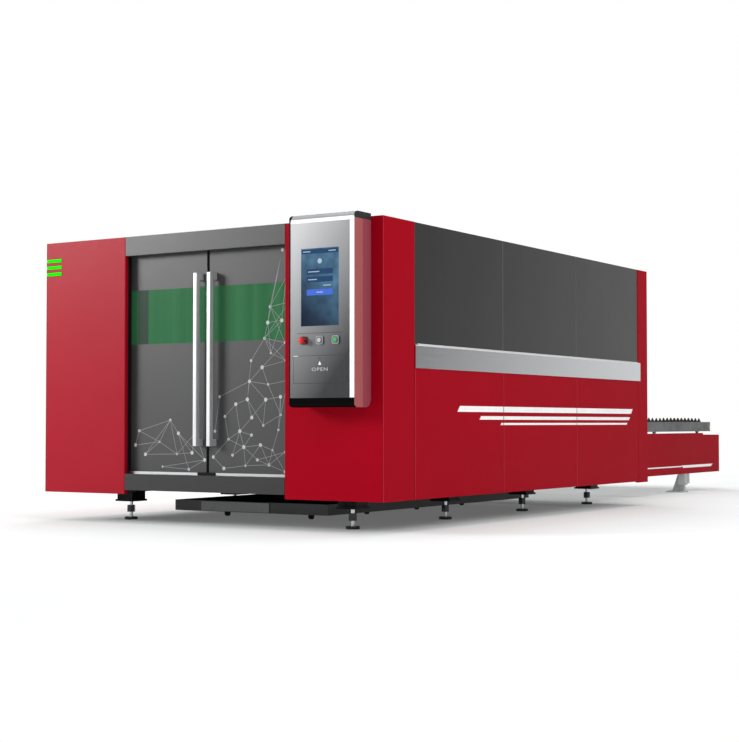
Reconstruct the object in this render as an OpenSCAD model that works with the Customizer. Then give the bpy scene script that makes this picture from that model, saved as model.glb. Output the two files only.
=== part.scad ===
// Enclosed laser cutting machine for sheet metal, with a two-level exchange table behind it.
// The front face lies across X, the table runs back along +Y and the floor is Z = 0.
// Inside the modules Y is counted from the front face. framed() moves it to the middle of the whole machine.

/* [Enclosure] */
// Width across the front columns
enclosure_w = 3050; // [2980:10:3200]
// Length from the front face to the rear face
enclosure_l = 4530; // [4450:10:4700]
// Height of the panels' lower edge above the floor
ground_clear = 216; // [200:1:240]
// Height of the enclosure panels
panel_h = 1900; // [1860:10:2000]
// Height of the lower side panels
lower_panel_h = 899; // [850:1:950]
// Height of the trim band between lower and upper panels
band_h = 169; // [120:1:200]
// How far the trim band stands out from the columns
band_proud = 6; // [3:1:20]
// Chamfer along the band's upper edge
band_chamfer = 11; // [6:1:24]
// Length of the band's tongue over the rear column
band_over = 40; // [20:1:80]
// Thickness of the upper side panels
panel_t = 26; // [15:1:40]
// Set-back of the upper side panels behind the columns
panel_inset = 5; // [3:1:25]
// Gap between neighbouring panels
seam_gap = 4; // [2:1:8]
// Number of panels along each side
module_n = 3; // [2:1:4]
// Thickness of folded sheet
sheet_t = 4; // [2:0.5:6]
// Outer radius of the columns' folds
bend_r = 8; // [7:1:12]
// Width of each front column
column_w = 800; // [770:10:830]
// Length of the front columns' side leg
corner_l = 410; // [380:10:450]
// Length of the rear columns' side and rear legs
rear_column_l = 220; // [180:10:260]
// How far the rear columns reach below the panels
rear_drop = 10; // [5:1:30]
// Thickness of the roof and rear panels
roof_t = 26; // [15:1:40]
// Width of the enclosure frame's square tubes
tube = 60; // [40:1:70]

/* [Front doors] */
// Distance of the door faces behind the front face
door_recess = 70; // [60:1:90]
// Thickness of a door leaf
door_t = 40; // [30:1:45]
// Gap between the two closed leaves
door_gap = 24; // [10:1:40]
// Width of leaf that stays behind the column when closed
door_overlap = 35; // [20:1:60]
// Depth of the columns' flange beside the door opening
return_d = 30; // [20:1:50]
// Width of the rubber door seals
seal_w = 12; // [8:1:20]
// Height of the header over the doors
header_h = 141; // [120:1:160]
// Height of the sill under the doors
sill_h = 119; // [100:1:130]
// Height of the sill's lower edge above the columns' lower edge
sill_lift = 30; // [10:1:50]
// Depth of header and sill
header_d = 60; // [40:1:60]
// Height of the window's lower edge above the floor
window_z = 1320; // [1250:10:1380]
// Height of the window
window_h = 400; // [300:10:450]
// Thickness of the window pane
pane_t = 6; // [4:1:10]
// Width of the leaf's rim around the window
window_rim = 40; // [25:1:60]
// Width of the handle bar
handle_w = 32; // [24:1:40]
// Depth of the handle bar
handle_d = 40; // [30:1:48]
// Length of the handle bar
handle_l = 1240; // [900:10:1300]
// Height of the handle's lower end above the floor
handle_z = 575; // [500:5:650]
// Distance of the handle's centre from the meeting line
handle_x = 62; // [45:1:80]
// Clear space between handle bar and door
handle_gap = 38; // [25:1:45]
// Height of the handle's end brackets
bracket_h = 50; // [30:1:60]
// Radius of the handle bar's edges
handle_r = 4; // [3:1:12]
// Width of the centre stop block
stop_w = 156; // [120:1:200]
// Height of the centre stop block
stop_h = 20; // [16:1:60]
// How far the stop block stands out from the door track
stop_proud = 8; // [4:1:16]
// Height of the door track's lips
track_h = 18; // [14:1:30]
// Depth of the door track's front lip
front_lip = 12; // [8:1:20]

/* [Bed and feet] */
// Width of the bed's side beams
beam_w = 170; // [150:5:200]
// Height of the bed's top face above the floor
bed_top = 700; // [680:5:720]
// Height of the bed's cross beams
cross_beam_h = 150; // [120:5:160]
// Height of the cross beams above the side beams' lower edge
cross_lift = 30; // [10:5:35]
// Width of the bed's cross beams
cross_beam_w = 120; // [80:5:150]
// Width of the blocks over the feet
foot_block_w = 150; // [120:5:160]
// Height of the blocks over the feet
foot_block_h = 60; // [40:1:70]
// Width of the flange plate under each block
foot_flange_w = 170; // [150:5:200]
// Thickness of the flange plate
foot_flange_t = 15; // [10:1:20]
// How far the feet stand outward of the side beams' middle
foot_out = 25; // [0:1:40]
// Diameter of the foot pads
pad_d = 100; // [80:1:130]
// Thickness of the foot pads
pad_h = 20; // [12:1:30]
// Diameter of the foot studs
stud_d = 28; // [20:1:36]
// Width over the corners of the hexagon on each stud
hex_d = 64; // [50:1:80]
// Height of the hexagon
hex_h = 52; // [30:1:60]
// Height of the hexagon's lower edge above the floor
hex_z = 58; // [40:1:65]

/* [Slag cart] */
// Width of the cart
cart_w = 1410; // [1200:10:1500]
// Length of the cart
cart_l = 3200; // [2800:10:3400]
// Height of the tray
cart_h = 80; // [60:1:90]
// Height of the tray's floor above the ground
cart_z = 74; // [66:1:80]
// Wall of the tray
cart_wall = 5; // [3:0.5:8]
// Distance of the cart's front behind the front face
cart_y = 560; // [500:10:650]
// Width of the plate on the cart's front
cart_plate_w = 635; // [400:5:800]
// Height of the plate on the cart's front
cart_plate_h = 70; // [40:1:76]
// Thickness of the plate on the cart's front
cart_plate_t = 10; // [4:1:16]
// Distance of the front plate from the cart's left side
cart_plate_x = 260; // [100:5:350]
// Thickness of the bars that guide the cart
guide_bar_t = 10; // [6:1:16]
// Height of the guide bars beside the tray
guide_bar_h = 20; // [12:1:40]
// Diameter of the cart's castors
castor_d = 50; // [40:1:54]
// Width of the castors
castor_w = 24; // [20:1:36]
// Length of the castors' forks at the top
fork_l = 60; // [50:1:80]
// Thickness of the forks' cheeks
fork_t = 4; // [3:1:8]
// Diameter of the castors' axles
pin_d = 12; // [8:1:16]
// Distance of the left castors from the cart's left side
castor_left = 55; // [45:1:100]
// Distance between the two lines of castors
castor_track = 810; // [700:5:1000]
// Distance of the first castors behind the cart's front
castor_first = 580; // [300:10:600]
// Distance of the last castors before the cart's rear end
castor_last = 250; // [100:10:500]
// Number of castors in a line
castor_n = 4; // [2:1:4]

/* [Pallets] */
// Width over the pallet's side beams
pallet_w = 1754; // [1700:2:1780]
// Length of a pallet
pallet_l = 3190; // [3120:10:3260]
// Height of the upper rails above the floor
rail_z = 630; // [620:1:650]
// Height of the lower rails below the upper ones
level_drop = 200; // [190:1:205]
// Height of the pallet frame's underside above its rail
pallet_lift = 18; // [12:1:24]
// Height of the pallet frame
pallet_h = 102; // [90:1:110]
// Width of the pallet's side and end beams
pallet_beam_w = 60; // [50:1:80]
// Height of the pallet's cross beams
pallet_cross_h = 44; // [30:1:48]
// Number of cross beams in a pallet
pallet_cross_n = 4; // [4:1:4]
// Number of toothed slats on a pallet
slat_n = 29; // [20:1:32]
// Thickness of a slat
slat_t = 5; // [3:0.5:8]
// Length of the pallet's rear end without slats
slat_end = 150; // [80:5:240]
// Distance of the slats' ends from the side beams' outer faces
slat_inset = 6; // [4:1:12]
// Height of the slats' tips above the frame
slat_rise = 45; // [42:1:48]
// Depth of the slats below the frame's top face
slat_drop = 50; // [30:1:52]
// Number of teeth on a slat
tooth_n = 42; // [30:1:48]
// Depth of the slat teeth
tooth_h = 38; // [30:1:40]
// Thickness of the plates outside the wheels
channel_t = 4; // [3:1:6]
// Diameter of the pallet wheels
wheel_d = 70; // [60:1:80]
// Width of the pallet wheels
wheel_w = 20; // [16:1:26]
// Diameter of the wheel axles
axle_d = 30; // [24:1:32]
// Number of wheel sets under a pallet
wheel_n = 3; // [3:1:3]
// Distance of the first wheel set from the pallet's front end
wheel_front = 375; // [300:5:420]
// Distance of the last wheel set from the pallet's rear end
wheel_end = 365; // [300:5:420]
// Travel of the pallets when they change places
pallet_travel = 3980; // [3900:10:4020]

/* [Exchange table] */
// Distance of the outer pallet behind the enclosure
pallet_clear = 120; // [100:5:160]
// Distance of the table's end behind the outer pallet
end_clear = 220; // [160:5:260]
// Height of the skirts' lower edge above the floor
skirt_z = 199; // [180:1:220]
// Thickness of the rails' ledges
ledge_t = 21; // [12:1:24]
// Thickness of the table's side webs
web_t = 14; // [8:1:20]
// Thickness of the skirts
skirt_t = 5; // [3:1:8]
// Length of rail behind the last wheel set's centre
rail_over = 84; // [40:1:120]
// Width of the table's cross tubes
table_tube = 60; // [40:1:80]
// Width of a leg's foot plate across the table
plate_w = 190; // [170:1:220]
// Length of a leg's foot plate along the table
plate_l = 150; // [120:1:180]
// Thickness of a leg's foot plate
plate_t = 15; // [10:1:20]
// Width of the legs' posts
post_w = 44; // [36:1:60]
// Width of the sleeves over the posts
sleeve_w = 80; // [66:1:96]
// Height of the sleeves' lower edge above the floor
sleeve_z = 78; // [60:1:110]
// Height of the legs' gussets
gusset_h = 175; // [120:1:184]
// Thickness of the legs' gussets
gusset_t = 12; // [8:1:16]
// Width of the gussets' upper edge
gusset_top = 12; // [8:1:30]
// Width of the stub tube behind each leg
stub_w = 50; // [40:1:60]
// Height of the stub tubes' lower edge above the floor
stub_z = 92; // [70:1:130]
// Gap between a leg's sleeve and its stub tube
stub_gap = 10; // [5:1:30]
// Diameter of the anchor holes
anchor_d = 18; // [12:1:24]
// Distance between a leg's two anchor holes
anchor_pitch = 100; // [80:1:110]
// Distance of the anchor holes from the foot plate's inner edge
anchor_edge = 25; // [18:1:40]
// Distance of the legs in front of the table's end
leg_rear = 1005; // [800:5:1200]

/* [Gantry and cutting head] */
// Width of the profile rails under the gantry
guide_w = 34; // [25:1:45]
// Height of the profile rails under the gantry
guide_h = 30; // [20:1:35]
// Width and height of the gear racks
rack_w = 25; // [20:1:30]
// Thickness of the saddles that run on the rails
saddle_t = 30; // [20:1:40]
// Length of the saddles
saddle_l = 400; // [300:10:420]
// Width of the saddles and of the gantry's legs
saddle_w = 106; // [90:1:106]
// Height of the gantry's legs
leg_h = 90; // [90:1:120]
// Height of the gantry beam
gantry_h = 200; // [160:5:240]
// Depth of the gantry beam at its lower face
gantry_d = 220; // [180:5:260]
// Depth of the gantry beam at its upper face
gantry_top_d = 150; // [120:5:200]
// Distance of the parked gantry's centre behind the front face
gantry_y = 1000; // [950:10:1050]
// Width and depth of the cross rails on the beam
cross_rail = 20; // [15:1:25]
// Distance of the cross rails from the beam's edges
cross_rail_inset = 30; // [20:1:40]
// Width of the head carriage
carriage_w = 260; // [200:5:300]
// Thickness of the carriage plate
carriage_t = 30; // [20:1:40]
// Travel of the carriage to either side
carriage_travel = 750; // [600:10:760]
// Diameter of the cutting head's barrel
head_d = 84; // [70:1:100]
// Length of the cutting head's barrel
barrel_h = 400; // [360:5:440]
// Width of the slide plate behind the barrel
slide_w = 120; // [100:1:140]
// Thickness of the slide plate
slide_t = 25; // [15:1:30]
// Diameter of the nozzle where it meets the barrel
nozzle_d = 30; // [24:1:36]
// Diameter of the nozzle's tip
nozzle_tip_d = 8; // [4:1:12]
// Length of the nozzle
nozzle_h = 25; // [20:1:30]
// Width of the gantry's gearboxes
gearbox_w = 110; // [90:1:130]
// Width of the drive motors
motor_w = 90; // [70:1:90]
// Length of the drive motors
motor_h = 190; // [140:5:220]
// Gap between a gearbox and its rack
rack_gap = 5; // [2:1:10]
// Height of the raised nozzle's tip above the upper pallet's slats
head_clear = 50; // [45:1:60]
// Height of the lowered nozzle's tip above the lower pallet's slats
cut_gap = 15; // [10:1:30]

/* [Rear lift door] */
// Gap between the table's skirts and the sides of the pallet passage
passage_gap = 13; // [8:1:40]
// Height of the passage's lower edge
passage_z = 400; // [390:1:405]
// Height of the passage
passage_h = 500; // [460:10:520]
// Height of the raised lift door above the passage
lift_clear = 5; // [2:1:10]
// Thickness of the lift door
lift_t = 30; // [20:1:36]
// Width of the strips that guide the lift door
guide_strip = 10; // [6:1:14]

/* [Console] */
// Distance of the console's right side from the enclosure's right side
console_edge = 95; // [60:5:120]
// Width of the console
console_w = 522; // [500:1:560]
// Height of the console's underside above the floor
console_z = 843; // [820:1:880]
// Height of the console
console_h = 1291; // [1260:1:1330]
// Depth of the front bezel
bezel_d = 120; // [100:1:140]
// Depth of the rear housing
housing_d = 101; // [90:1:130]
// Radius of the bezel's left and right edges
bezel_r = 24; // [16:1:30]
// Radius of the bezel's upper and lower edges
bezel_edge_r = 62; // [40:1:70]
// Radius of the housing's rounded lower rear edge
housing_r = 62; // [30:1:80]
// Width of the bezel at the left
bezel_left = 24; // [20:1:34]
// Width of the bezel at the right
bezel_right = 24; // [20:1:34]
// Height of the bezel at the top
bezel_top = 62; // [50:1:80]
// Height of the bezel at the bottom
bezel_bottom = 62; // [50:1:80]
// Thickness of the face plate
face_t = 4; // [3:0.5:6]
// Set-back of the face plate behind the bezel's front
face_inset = 1; // [1:0.5:6]
// Width of the screen
screen_w = 302; // [260:1:320]
// Height of the screen
screen_h = 517; // [480:1:540]
// Height of the screen's lower edge above the console's underside
screen_z = 539; // [525:1:560]
// Distance of the screen's centre from the console's left side
screen_x = 260; // [245:1:270]
// Width of the keyboard flap
flap_w = 424; // [400:1:430]
// Height of the keyboard flap
flap_h = 184; // [160:1:200]
// Thickness of the keyboard flap
flap_t = 8; // [6:1:10]
// Height of the flap's lower edge above the console's underside
flap_z = 159; // [140:1:170]
// Distance of the flap's left edge from the console's left side
flap_x = 48; // [40:1:54]
// Thickness of the keyboard on the back of the flap
keyboard_t = 12; // [8:1:16]
// Margin of the keyboard inside the flap
keyboard_margin = 18; // [15:1:24]
// Height of the push buttons above the console's underside
button_z = 444; // [432:1:456]
// Distance of the emergency stop from the console's left side
estop_x = 134; // [110:1:150]
// Distance of the pause button from the console's left side
pause_x = 262; // [240:1:280]
// Distance of the start button from the console's left side
start_x = 388; // [370:1:410]
// Width of the buttons' square collars
collar_w = 54; // [46:1:60]
// Corner radius of the buttons' collars
collar_r = 12; // [6:1:16]
// Thickness of the buttons' collars
collar_t = 8; // [5:1:12]
// Diameter of the push buttons
button_d = 28; // [18:1:32]
// Height of the push buttons in front of their collars
button_rise = 7; // [5:1:10]
// Travel of the push buttons
button_travel = 4; // [2:0.5:4]
// Diameter of the emergency stop's head
estop_d = 40; // [34:1:46]
// Thickness of the emergency stop's head
estop_t = 16; // [10:1:22]
// Height of the emergency stop's head in front of its collar
estop_rise = 42; // [30:1:50]
// Radius of the dome on the emergency stop's head
estop_dome = 28; // [24:1:40]
// Travel of the emergency stop
estop_travel = 6; // [3:0.5:8]

/* [Lamp] */
// Length of the lamp bars
lamp_w = 157; // [120:1:200]
// Height of one lamp bar
lamp_h = 24; // [18:1:40]
// Distance between lamp bars
lamp_pitch = 51; // [44:1:60]
// Height of the lowest lamp bar above the floor
lamp_z = 1864; // [1800:1:1900]
// How far the lamp bars stand out from the column
lamp_proud = 4; // [2:1:8]

/* [Clearances] */
// Gap between a moving piece and what guides it
run_gap = 0.3; // [0.3:0.1:1]
// Radial clearance of a shaft in its bore
shaft_gap = 0.05; // [0.02:0.01:0.1]
// Gap between pallet frame and wheel
wheel_gap = 2; // [1:0.5:4]
// Gap between wheel and web
web_gap = 3; // [2:0.5:5]
// Gap around a fitted plate
fit_gap = 0.5; // [0.3:0.1:1]
// Gap between a door leaf and the track's floor
door_lift = 4; // [2:1:6]
// Root gap between the members of a welded frame
weld_gap = 0.2; // [0.1:0.1:0.5]

/* [Hidden] */
$fn = 48;

// Enclosure
half_w = enclosure_w / 2;
panel_top = ground_clear + panel_h;
band_z = ground_clear + lower_panel_h;
upper_z = band_z + band_h;
frame_x = half_w - panel_inset - panel_t;
post_x = frame_x - tube;
module_l = (enclosure_l - corner_l - rear_column_l) / module_n;
open_half = half_w - column_w;
roof_z = panel_top - roof_t;
rail_top_z = roof_z - tube;
rear_y = enclosure_l - return_d;
rear_post_y = rear_y - tube;
rear_open_x = half_w - rear_column_l;

// Doors
sill_z = ground_clear + sill_lift;
sill_top = sill_z + sill_h;
header_z = panel_top - header_h;
leaf_x0 = door_gap / 2;
leaf_x1 = open_half + door_overlap;
leaf_z0 = sill_top + sheet_t + door_lift;
leaf_back = door_recess + door_t;
track_gap = 2;
track_lip = 4;
slot_y = door_recess - track_gap;
track_y0 = slot_y - front_lip;
track_y1 = leaf_back + 2 * track_gap;
front_post_y = track_y1 + track_lip;
rail_bar_h = 20;
rail_bar_d = 16;
rail_bar_y = front_post_y - rail_bar_d;
rail_bar_z = rail_top_z + tube / 3;
shoe_h = 18;
hanger_l = 90;
hanger_t = 18;
leaf_drop = 25;
leaf_z1 = rail_bar_z - leaf_drop;

// Pallets, rails and bed
pallet_half = pallet_w / 2;
wheel_x0 = pallet_half + wheel_gap;
wheel_x1 = wheel_x0 + wheel_w;
channel_x = wheel_x1 + wheel_gap;
web_x = channel_x + channel_t + web_gap;
passage_half = web_x + web_t + skirt_t + passage_gap;
weld_x = web_x - weld_gap;
ledge_inset = 1;
ledge_x = wheel_x0 + ledge_inset;
cross_z = ground_clear + cross_lift;
bed_half = web_x + beam_w;
guide_rail_x = web_x + beam_w / 2;
foot_x = guide_rail_x + foot_out;
seam_y = [for (i = [0:module_n]) corner_l + i * module_l];
bed_y0 = seam_y[0] - foot_block_w / 2;
bed_y1 = seam_y[module_n] + foot_block_w / 2;
lift_y = rear_post_y + guide_strip + run_gap;
pallet_y = enclosure_l + pallet_clear;
table_y = enclosure_l - sheet_t;
table_end = pallet_y + pallet_l + end_clear;
leg_y = table_end - leg_rear;
wheel_pitch = (pallet_l - wheel_front - wheel_end) / (wheel_n - 1);
wheel_at = [for (i = [0:wheel_n - 1]) wheel_front + i * wheel_pitch];
rail_end = pallet_y + wheel_at[wheel_n - 1] + rail_over;
slat_half = pallet_half - slat_inset;
strip_w = 20;
flange_z = ground_clear - foot_block_h - foot_flange_t;
slat_tip = rail_z + pallet_lift + pallet_h + slat_rise;
castor_pitch = (cart_l - castor_first - castor_last) / (castor_n - 1);

// Gantry
saddle_z = bed_top + guide_h + run_gap;
gantry_z = saddle_z + saddle_t + leg_h;
saddle_x = guide_rail_x - saddle_w / 2;
cross_rail_y = -gantry_d / 2 - cross_rail;
nozzle_z = slat_tip + head_clear;
carriage_y = cross_rail_y - run_gap - carriage_t;
head_y = carriage_y - run_gap - slide_t - head_d / 2;

// Console
console_x = half_w - console_edge - console_w;
console_front = -(housing_d + bezel_d);
face_y = console_front + face_inset;
face_x0 = console_x + bezel_left;
face_x1 = console_x + console_w - bezel_right;
face_z0 = console_z + bezel_bottom;
face_z1 = console_z + console_h - bezel_top;
flap_left = console_x + flap_x;
flap_low = console_z + flap_z;
button_row_z = console_z + button_z;
button_x = [estop_x, pause_x, start_x];
stem_d = 16;
stem_back = 12;
collar_front = face_y - collar_t;
estop_front = collar_front - estop_rise;

// Middle of the whole machine along Y
y_mid = (table_end + estop_front) / 2;

module framed() {
    translate([0, -y_mid, 0]) children();
}

module box(x0, x1, y0, y1, z0, z1) {
    translate([x0, y0, z0]) cube([x1 - x0, y1 - y0, z1 - z0]);
}

module both_sides() {
    children();
    mirror([1, 0, 0]) children();
}

// A sheet folded at right angles along a centre line, seen from above
module fold(path, t) {
    last = len(path) - 2;
    cut = bend_r - t / 2;
    for (i = [0:last]) {
        step = path[i + 1] - path[i];
        start = i > 0 ? cut : 0;
        end = norm(step) - (i < last ? cut : 0);
        translate(path[i]) rotate(atan2(step[1], step[0])) translate([start, -t / 2]) square([end - start, t]);
    }
    for (i = [1:last]) {
        a = (path[i] - path[i - 1]) / norm(path[i] - path[i - 1]);
        b = (path[i + 1] - path[i]) / norm(path[i + 1] - path[i]);
        left_turn = a[0] * b[1] - a[1] * b[0] > 0;
        translate(path[i] + cut * (b - a)) rotate(atan2(a[1], a[0])) intersection() {
            difference() {
                circle(r = bend_r);
                circle(r = bend_r - t);
            }
            translate([0, left_turn ? -bend_r : 0]) square(bend_r);
        }
    }
}

module round_rect(w, d, r) {
    translate([r, 0]) square([w - 2 * r, d]);
    translate([0, r]) square([w, d - 2 * r]);
    for (x = [r, w - r], y = [r, d - r]) translate([x, y]) circle(r = r);
}

// Bed: side beams, cross beams, pallet ledges, foot blocks and the cart's guide bars
module bed_frame() {
    guide_x = cart_w / 2 + run_gap;
    color("dimgray") {
        both_sides() {
            box(web_x, bed_half, bed_y0, bed_y1, ground_clear, bed_top);
            for (z = [rail_z, rail_z - level_drop]) box(ledge_x, weld_x, bed_y0, rear_post_y, z - ledge_t, z);
            box(guide_x, guide_x + guide_bar_t, seam_y[1] - cross_beam_w / 2, cart_y + cart_l,
                cart_z + cart_h - guide_bar_h, cross_z - weld_gap);
        }
        for (y = seam_y)
            box(-weld_x, weld_x, y - cross_beam_w / 2, y + cross_beam_w / 2, cross_z, cross_z + cross_beam_h);
        both_sides() for (y = seam_y) translate([foot_x, y, 0]) foot_block();
    }
}

module foot_block() {
    translate([-foot_block_w / 2, -foot_block_w / 2, flange_z + foot_flange_t + weld_gap])
        cube([foot_block_w, foot_block_w, foot_block_h - 2 * weld_gap]);
    translate([-foot_flange_w / 2, -foot_flange_w / 2, flange_z])
        cube([foot_flange_w, foot_flange_w, foot_flange_t]);
}

module levelling_feet() {
    color("black") both_sides() for (y = seam_y) translate([foot_x, y, 0]) levelling_foot();
}

module levelling_foot() {
    cylinder(d = pad_d, h = pad_h - weld_gap);
    translate([0, 0, pad_h]) cylinder(d = stud_d, h = flange_z - pad_h);
    translate([0, 0, hex_z]) cylinder(d = hex_d, h = hex_h, $fn = 6);
}

module gantry_rails() {
    color("silver") both_sides()
        box(guide_rail_x - guide_w / 2, guide_rail_x + guide_w / 2, bed_y0, bed_y1, bed_top, bed_top + guide_h);
}

module gear_racks() {
    color("gray") both_sides()
        box(bed_half - rack_w, bed_half, bed_y0, bed_y1, bed_top, bed_top + rack_w);
}

// Folded front column: front leg, side leg, door flange, frame flange and top flange
module front_column() {
    t = sheet_t;
    path = [[open_half + t / 2, return_d], [open_half + t / 2, t / 2], [half_w - t / 2, t / 2],
        [half_w - t / 2, corner_l - t / 2], [frame_x, corner_l - t / 2]];
    translate([0, 0, ground_clear]) linear_extrude(panel_h) fold(path, t);
    difference() {
        box(open_half + t, half_w - t, t, corner_l - t, panel_top - t, panel_top);
        box(open_half, frame_x, header_d, corner_l, ground_clear, panel_top + t);
    }
}

module left_front_column() {
    color("firebrick") mirror([1, 0, 0]) front_column();
}

module right_front_column() {
    color("firebrick") front_column();
}

module rear_columns() {
    t = sheet_t;
    y0 = enclosure_l - rear_column_l;
    path = [[frame_x, y0 + t / 2], [half_w - t / 2, y0 + t / 2], [half_w - t / 2, enclosure_l - t / 2],
        [rear_open_x + t / 2, enclosure_l - t / 2], [rear_open_x + t / 2, rear_y]];
    color("firebrick") both_sides() {
        translate([0, 0, ground_clear - rear_drop]) linear_extrude(panel_h + rear_drop) fold(path, t);
        difference() {
            box(rear_open_x + t, half_w - t, y0 + t, enclosure_l - t, panel_top - t, panel_top);
            box(rear_open_x, frame_x, y0, rear_y, ground_clear, panel_top + t);
        }
    }
}

module front_header() {
    color("gray") box(-open_half, open_half, 0, header_d, header_z, panel_top);
}

module front_sill() {
    color("dimgray") box(-open_half, open_half, 0, header_d, sill_z, sill_top);
}

// Rail bar that the doors hang on
module door_top_track() {
    color("silver") box(-post_x, post_x, rail_bar_y, front_post_y, rail_bar_z, rail_bar_z + rail_bar_h);
}

// Channel that guides the doors' lower edges, with its front lip cut out for the stop block
module door_bottom_track() {
    color("silver") difference() {
        box(-post_x, post_x, track_y0, front_post_y, sill_top, sill_top + track_h);
        box(-half_w, half_w, slot_y, track_y1, sill_top + sheet_t, panel_top);
        box(-stop_w / 2, stop_w / 2, 0, slot_y, sill_z, panel_top);
    }
}

module door_stop() {
    color("black") box(-stop_w / 2, stop_w / 2, track_y0 - stop_proud, slot_y, sill_top, sill_top + stop_h);
}

module door_seals() {
    color("black") both_sides()
        box(open_half, open_half + seal_w, return_d, door_recess - run_gap, sill_top + track_h, header_z);
}

// Square-tube frame that carries panels, roof, door tracks and the lift door
module enclosure_frame() {
    g = weld_gap;
    mid_z = band_z + band_h / 2 - tube / 2;
    low_z = ground_clear + tube;
    post_top = rail_top_z - g;
    post_y = concat([front_post_y + tube / 2], seam_y, [rear_y - tube / 2]);
    color("dimgray") {
        both_sides() {
            for (y = post_y) frame_post(post_x, y, post_top);
            frame_post(passage_half, rear_y - tube / 2, post_top);
            for (i = [0:module_n - 1]) side_rail(seam_y[i], seam_y[i + 1], mid_z);
            for (i = [0:len(post_y) - 2]) side_rail(post_y[i], post_y[i + 1], ground_clear);
            box(post_x, frame_x, front_post_y, rear_y, rail_top_z, roof_z);
            box(passage_half + tube + g, post_x - g, rear_post_y, rear_y, ground_clear, low_z);
            for (y = seam_y) box(bed_half, post_x - g, y - tube / 2, y + tube / 2, ground_clear, low_z);
            for (y = [rear_post_y, lift_y + lift_t + run_gap])
                box(passage_half - strip_w, passage_half - g, y, y + guide_strip,
                    passage_z, passage_z + 2 * passage_h + tube);
            box(open_half, open_half + tube, header_d, front_post_y - g, sill_top - tube, sill_top);
        }
        box(g - post_x, post_x - g, front_post_y, front_post_y + tube, rail_top_z, roof_z);
        box(g - post_x, post_x - g, front_post_y, front_post_y + tube, sill_top - tube, sill_top);
        box(g - post_x, post_x - g, rear_post_y, rear_y, rail_top_z, roof_z);
    }
}

module frame_post(x, y, top) {
    box(x, x + tube, y - tube / 2, y + tube / 2, ground_clear, top);
}

// Rail between the posts at two places along the side
module side_rail(y0, y1, z) {
    box(post_x, frame_x, y0 + tube / 2 + weld_gap, y1 - tube / 2 - weld_gap, z, z + tube);
}

module side_panels(x0, x1, z0, z1) {
    for (i = [0:module_n - 1])
        box(x0, x1, seam_y[i] + seam_gap / 2, seam_y[i + 1] - seam_gap / 2, z0, z1);
}

module left_upper_panels() {
    color("slategray") mirror([1, 0, 0]) side_panels(frame_x, frame_x + panel_t, upper_z, panel_top);
}

module right_upper_panels() {
    color("slategray") side_panels(frame_x, frame_x + panel_t, upper_z, panel_top);
}

module left_lower_panels() {
    color("firebrick") mirror([1, 0, 0]) side_panels(frame_x, half_w, ground_clear, band_z);
}

module right_lower_panels() {
    color("firebrick") side_panels(frame_x, half_w, ground_clear, band_z);
}

module trim_bands() {
    out = half_w + band_proud;
    section = [[frame_x, band_z], [out, band_z], [out, upper_z - band_chamfer],
        [out - band_chamfer, upper_z], [frame_x, upper_z]];
    end = seam_y[module_n];
    color("lightgray") both_sides() {
        translate([0, end, 0]) rotate([90, 0, 0]) linear_extrude(module_n * module_l) polygon(section);
        box(half_w, out, end, end + band_over, band_z, upper_z - band_chamfer);
    }
}

// Rear wall round the pallet passage
module rear_panels() {
    y1 = enclosure_l - sheet_t;
    passage_top = passage_z + passage_h;
    color("slategray") {
        box(-rear_open_x, rear_open_x, rear_y, y1, passage_top, panel_top);
        box(-passage_half, passage_half, rear_y, y1, ground_clear, passage_z);
        both_sides() box(passage_half, rear_open_x, rear_y, y1, ground_clear, passage_top);
    }
}

module roof_panels() {
    step = (rear_y - header_d) / module_n;
    color("slategray") for (i = [0:module_n - 1])
        box(-frame_x, frame_x, header_d + i * step + seam_gap / 2, header_d + (i + 1) * step - seam_gap / 2,
            roof_z, panel_top);
}

module lamp_bars() {
    color("lime") for (i = [0:2])
        box(bend_r - half_w, lamp_w - half_w, -lamp_proud, 0,
            lamp_z + i * lamp_pitch, lamp_z + i * lamp_pitch + lamp_h);
}

// Exchange table: side webs, two levels of ledges, cross tubes and end beam
module table_frame() {
    upper_z0 = rail_z - ledge_t;
    lower_z = rail_z - level_drop;
    inner_y = table_end - skirt_t;
    color("gray") {
        both_sides() {
            box(web_x, web_x + web_t, table_y, inner_y, skirt_z, upper_z0);
            box(ledge_x, web_x + web_t, rear_y, rail_end, upper_z0 + weld_gap, rail_z);
            box(ledge_x, weld_x, rear_y, rail_end, lower_z - ledge_t, lower_z);
        }
        for (y = [table_y + table_tube, (table_y + leg_y) / 2, leg_y])
            box(-weld_x, weld_x, y - table_tube / 2, y + table_tube / 2, skirt_z, skirt_z + table_tube);
        box(-weld_x, weld_x, inner_y - table_tube, inner_y, skirt_z, upper_z0);
    }
}

module table_side_skirts() {
    x0 = web_x + web_t;
    color("firebrick") both_sides() {
        box(x0, x0 + skirt_t, table_y, table_end, skirt_z, rail_z - ledge_t);
        box(x0, x0 + skirt_t, table_y, rail_end, rail_z - ledge_t + weld_gap, rail_z);
    }
}

module table_end_skirt() {
    color("firebrick")
        box(-web_x - web_t, web_x + web_t, table_end - skirt_t, table_end, skirt_z, rail_z - ledge_t);
}

// Leg with foot plate, anchor holes, post in its sleeve, sloped gusset and the stub tube behind it
module table_legs() {
    color("lightgray") both_sides() translate([web_x, leg_y, 0]) table_leg();
}

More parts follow.
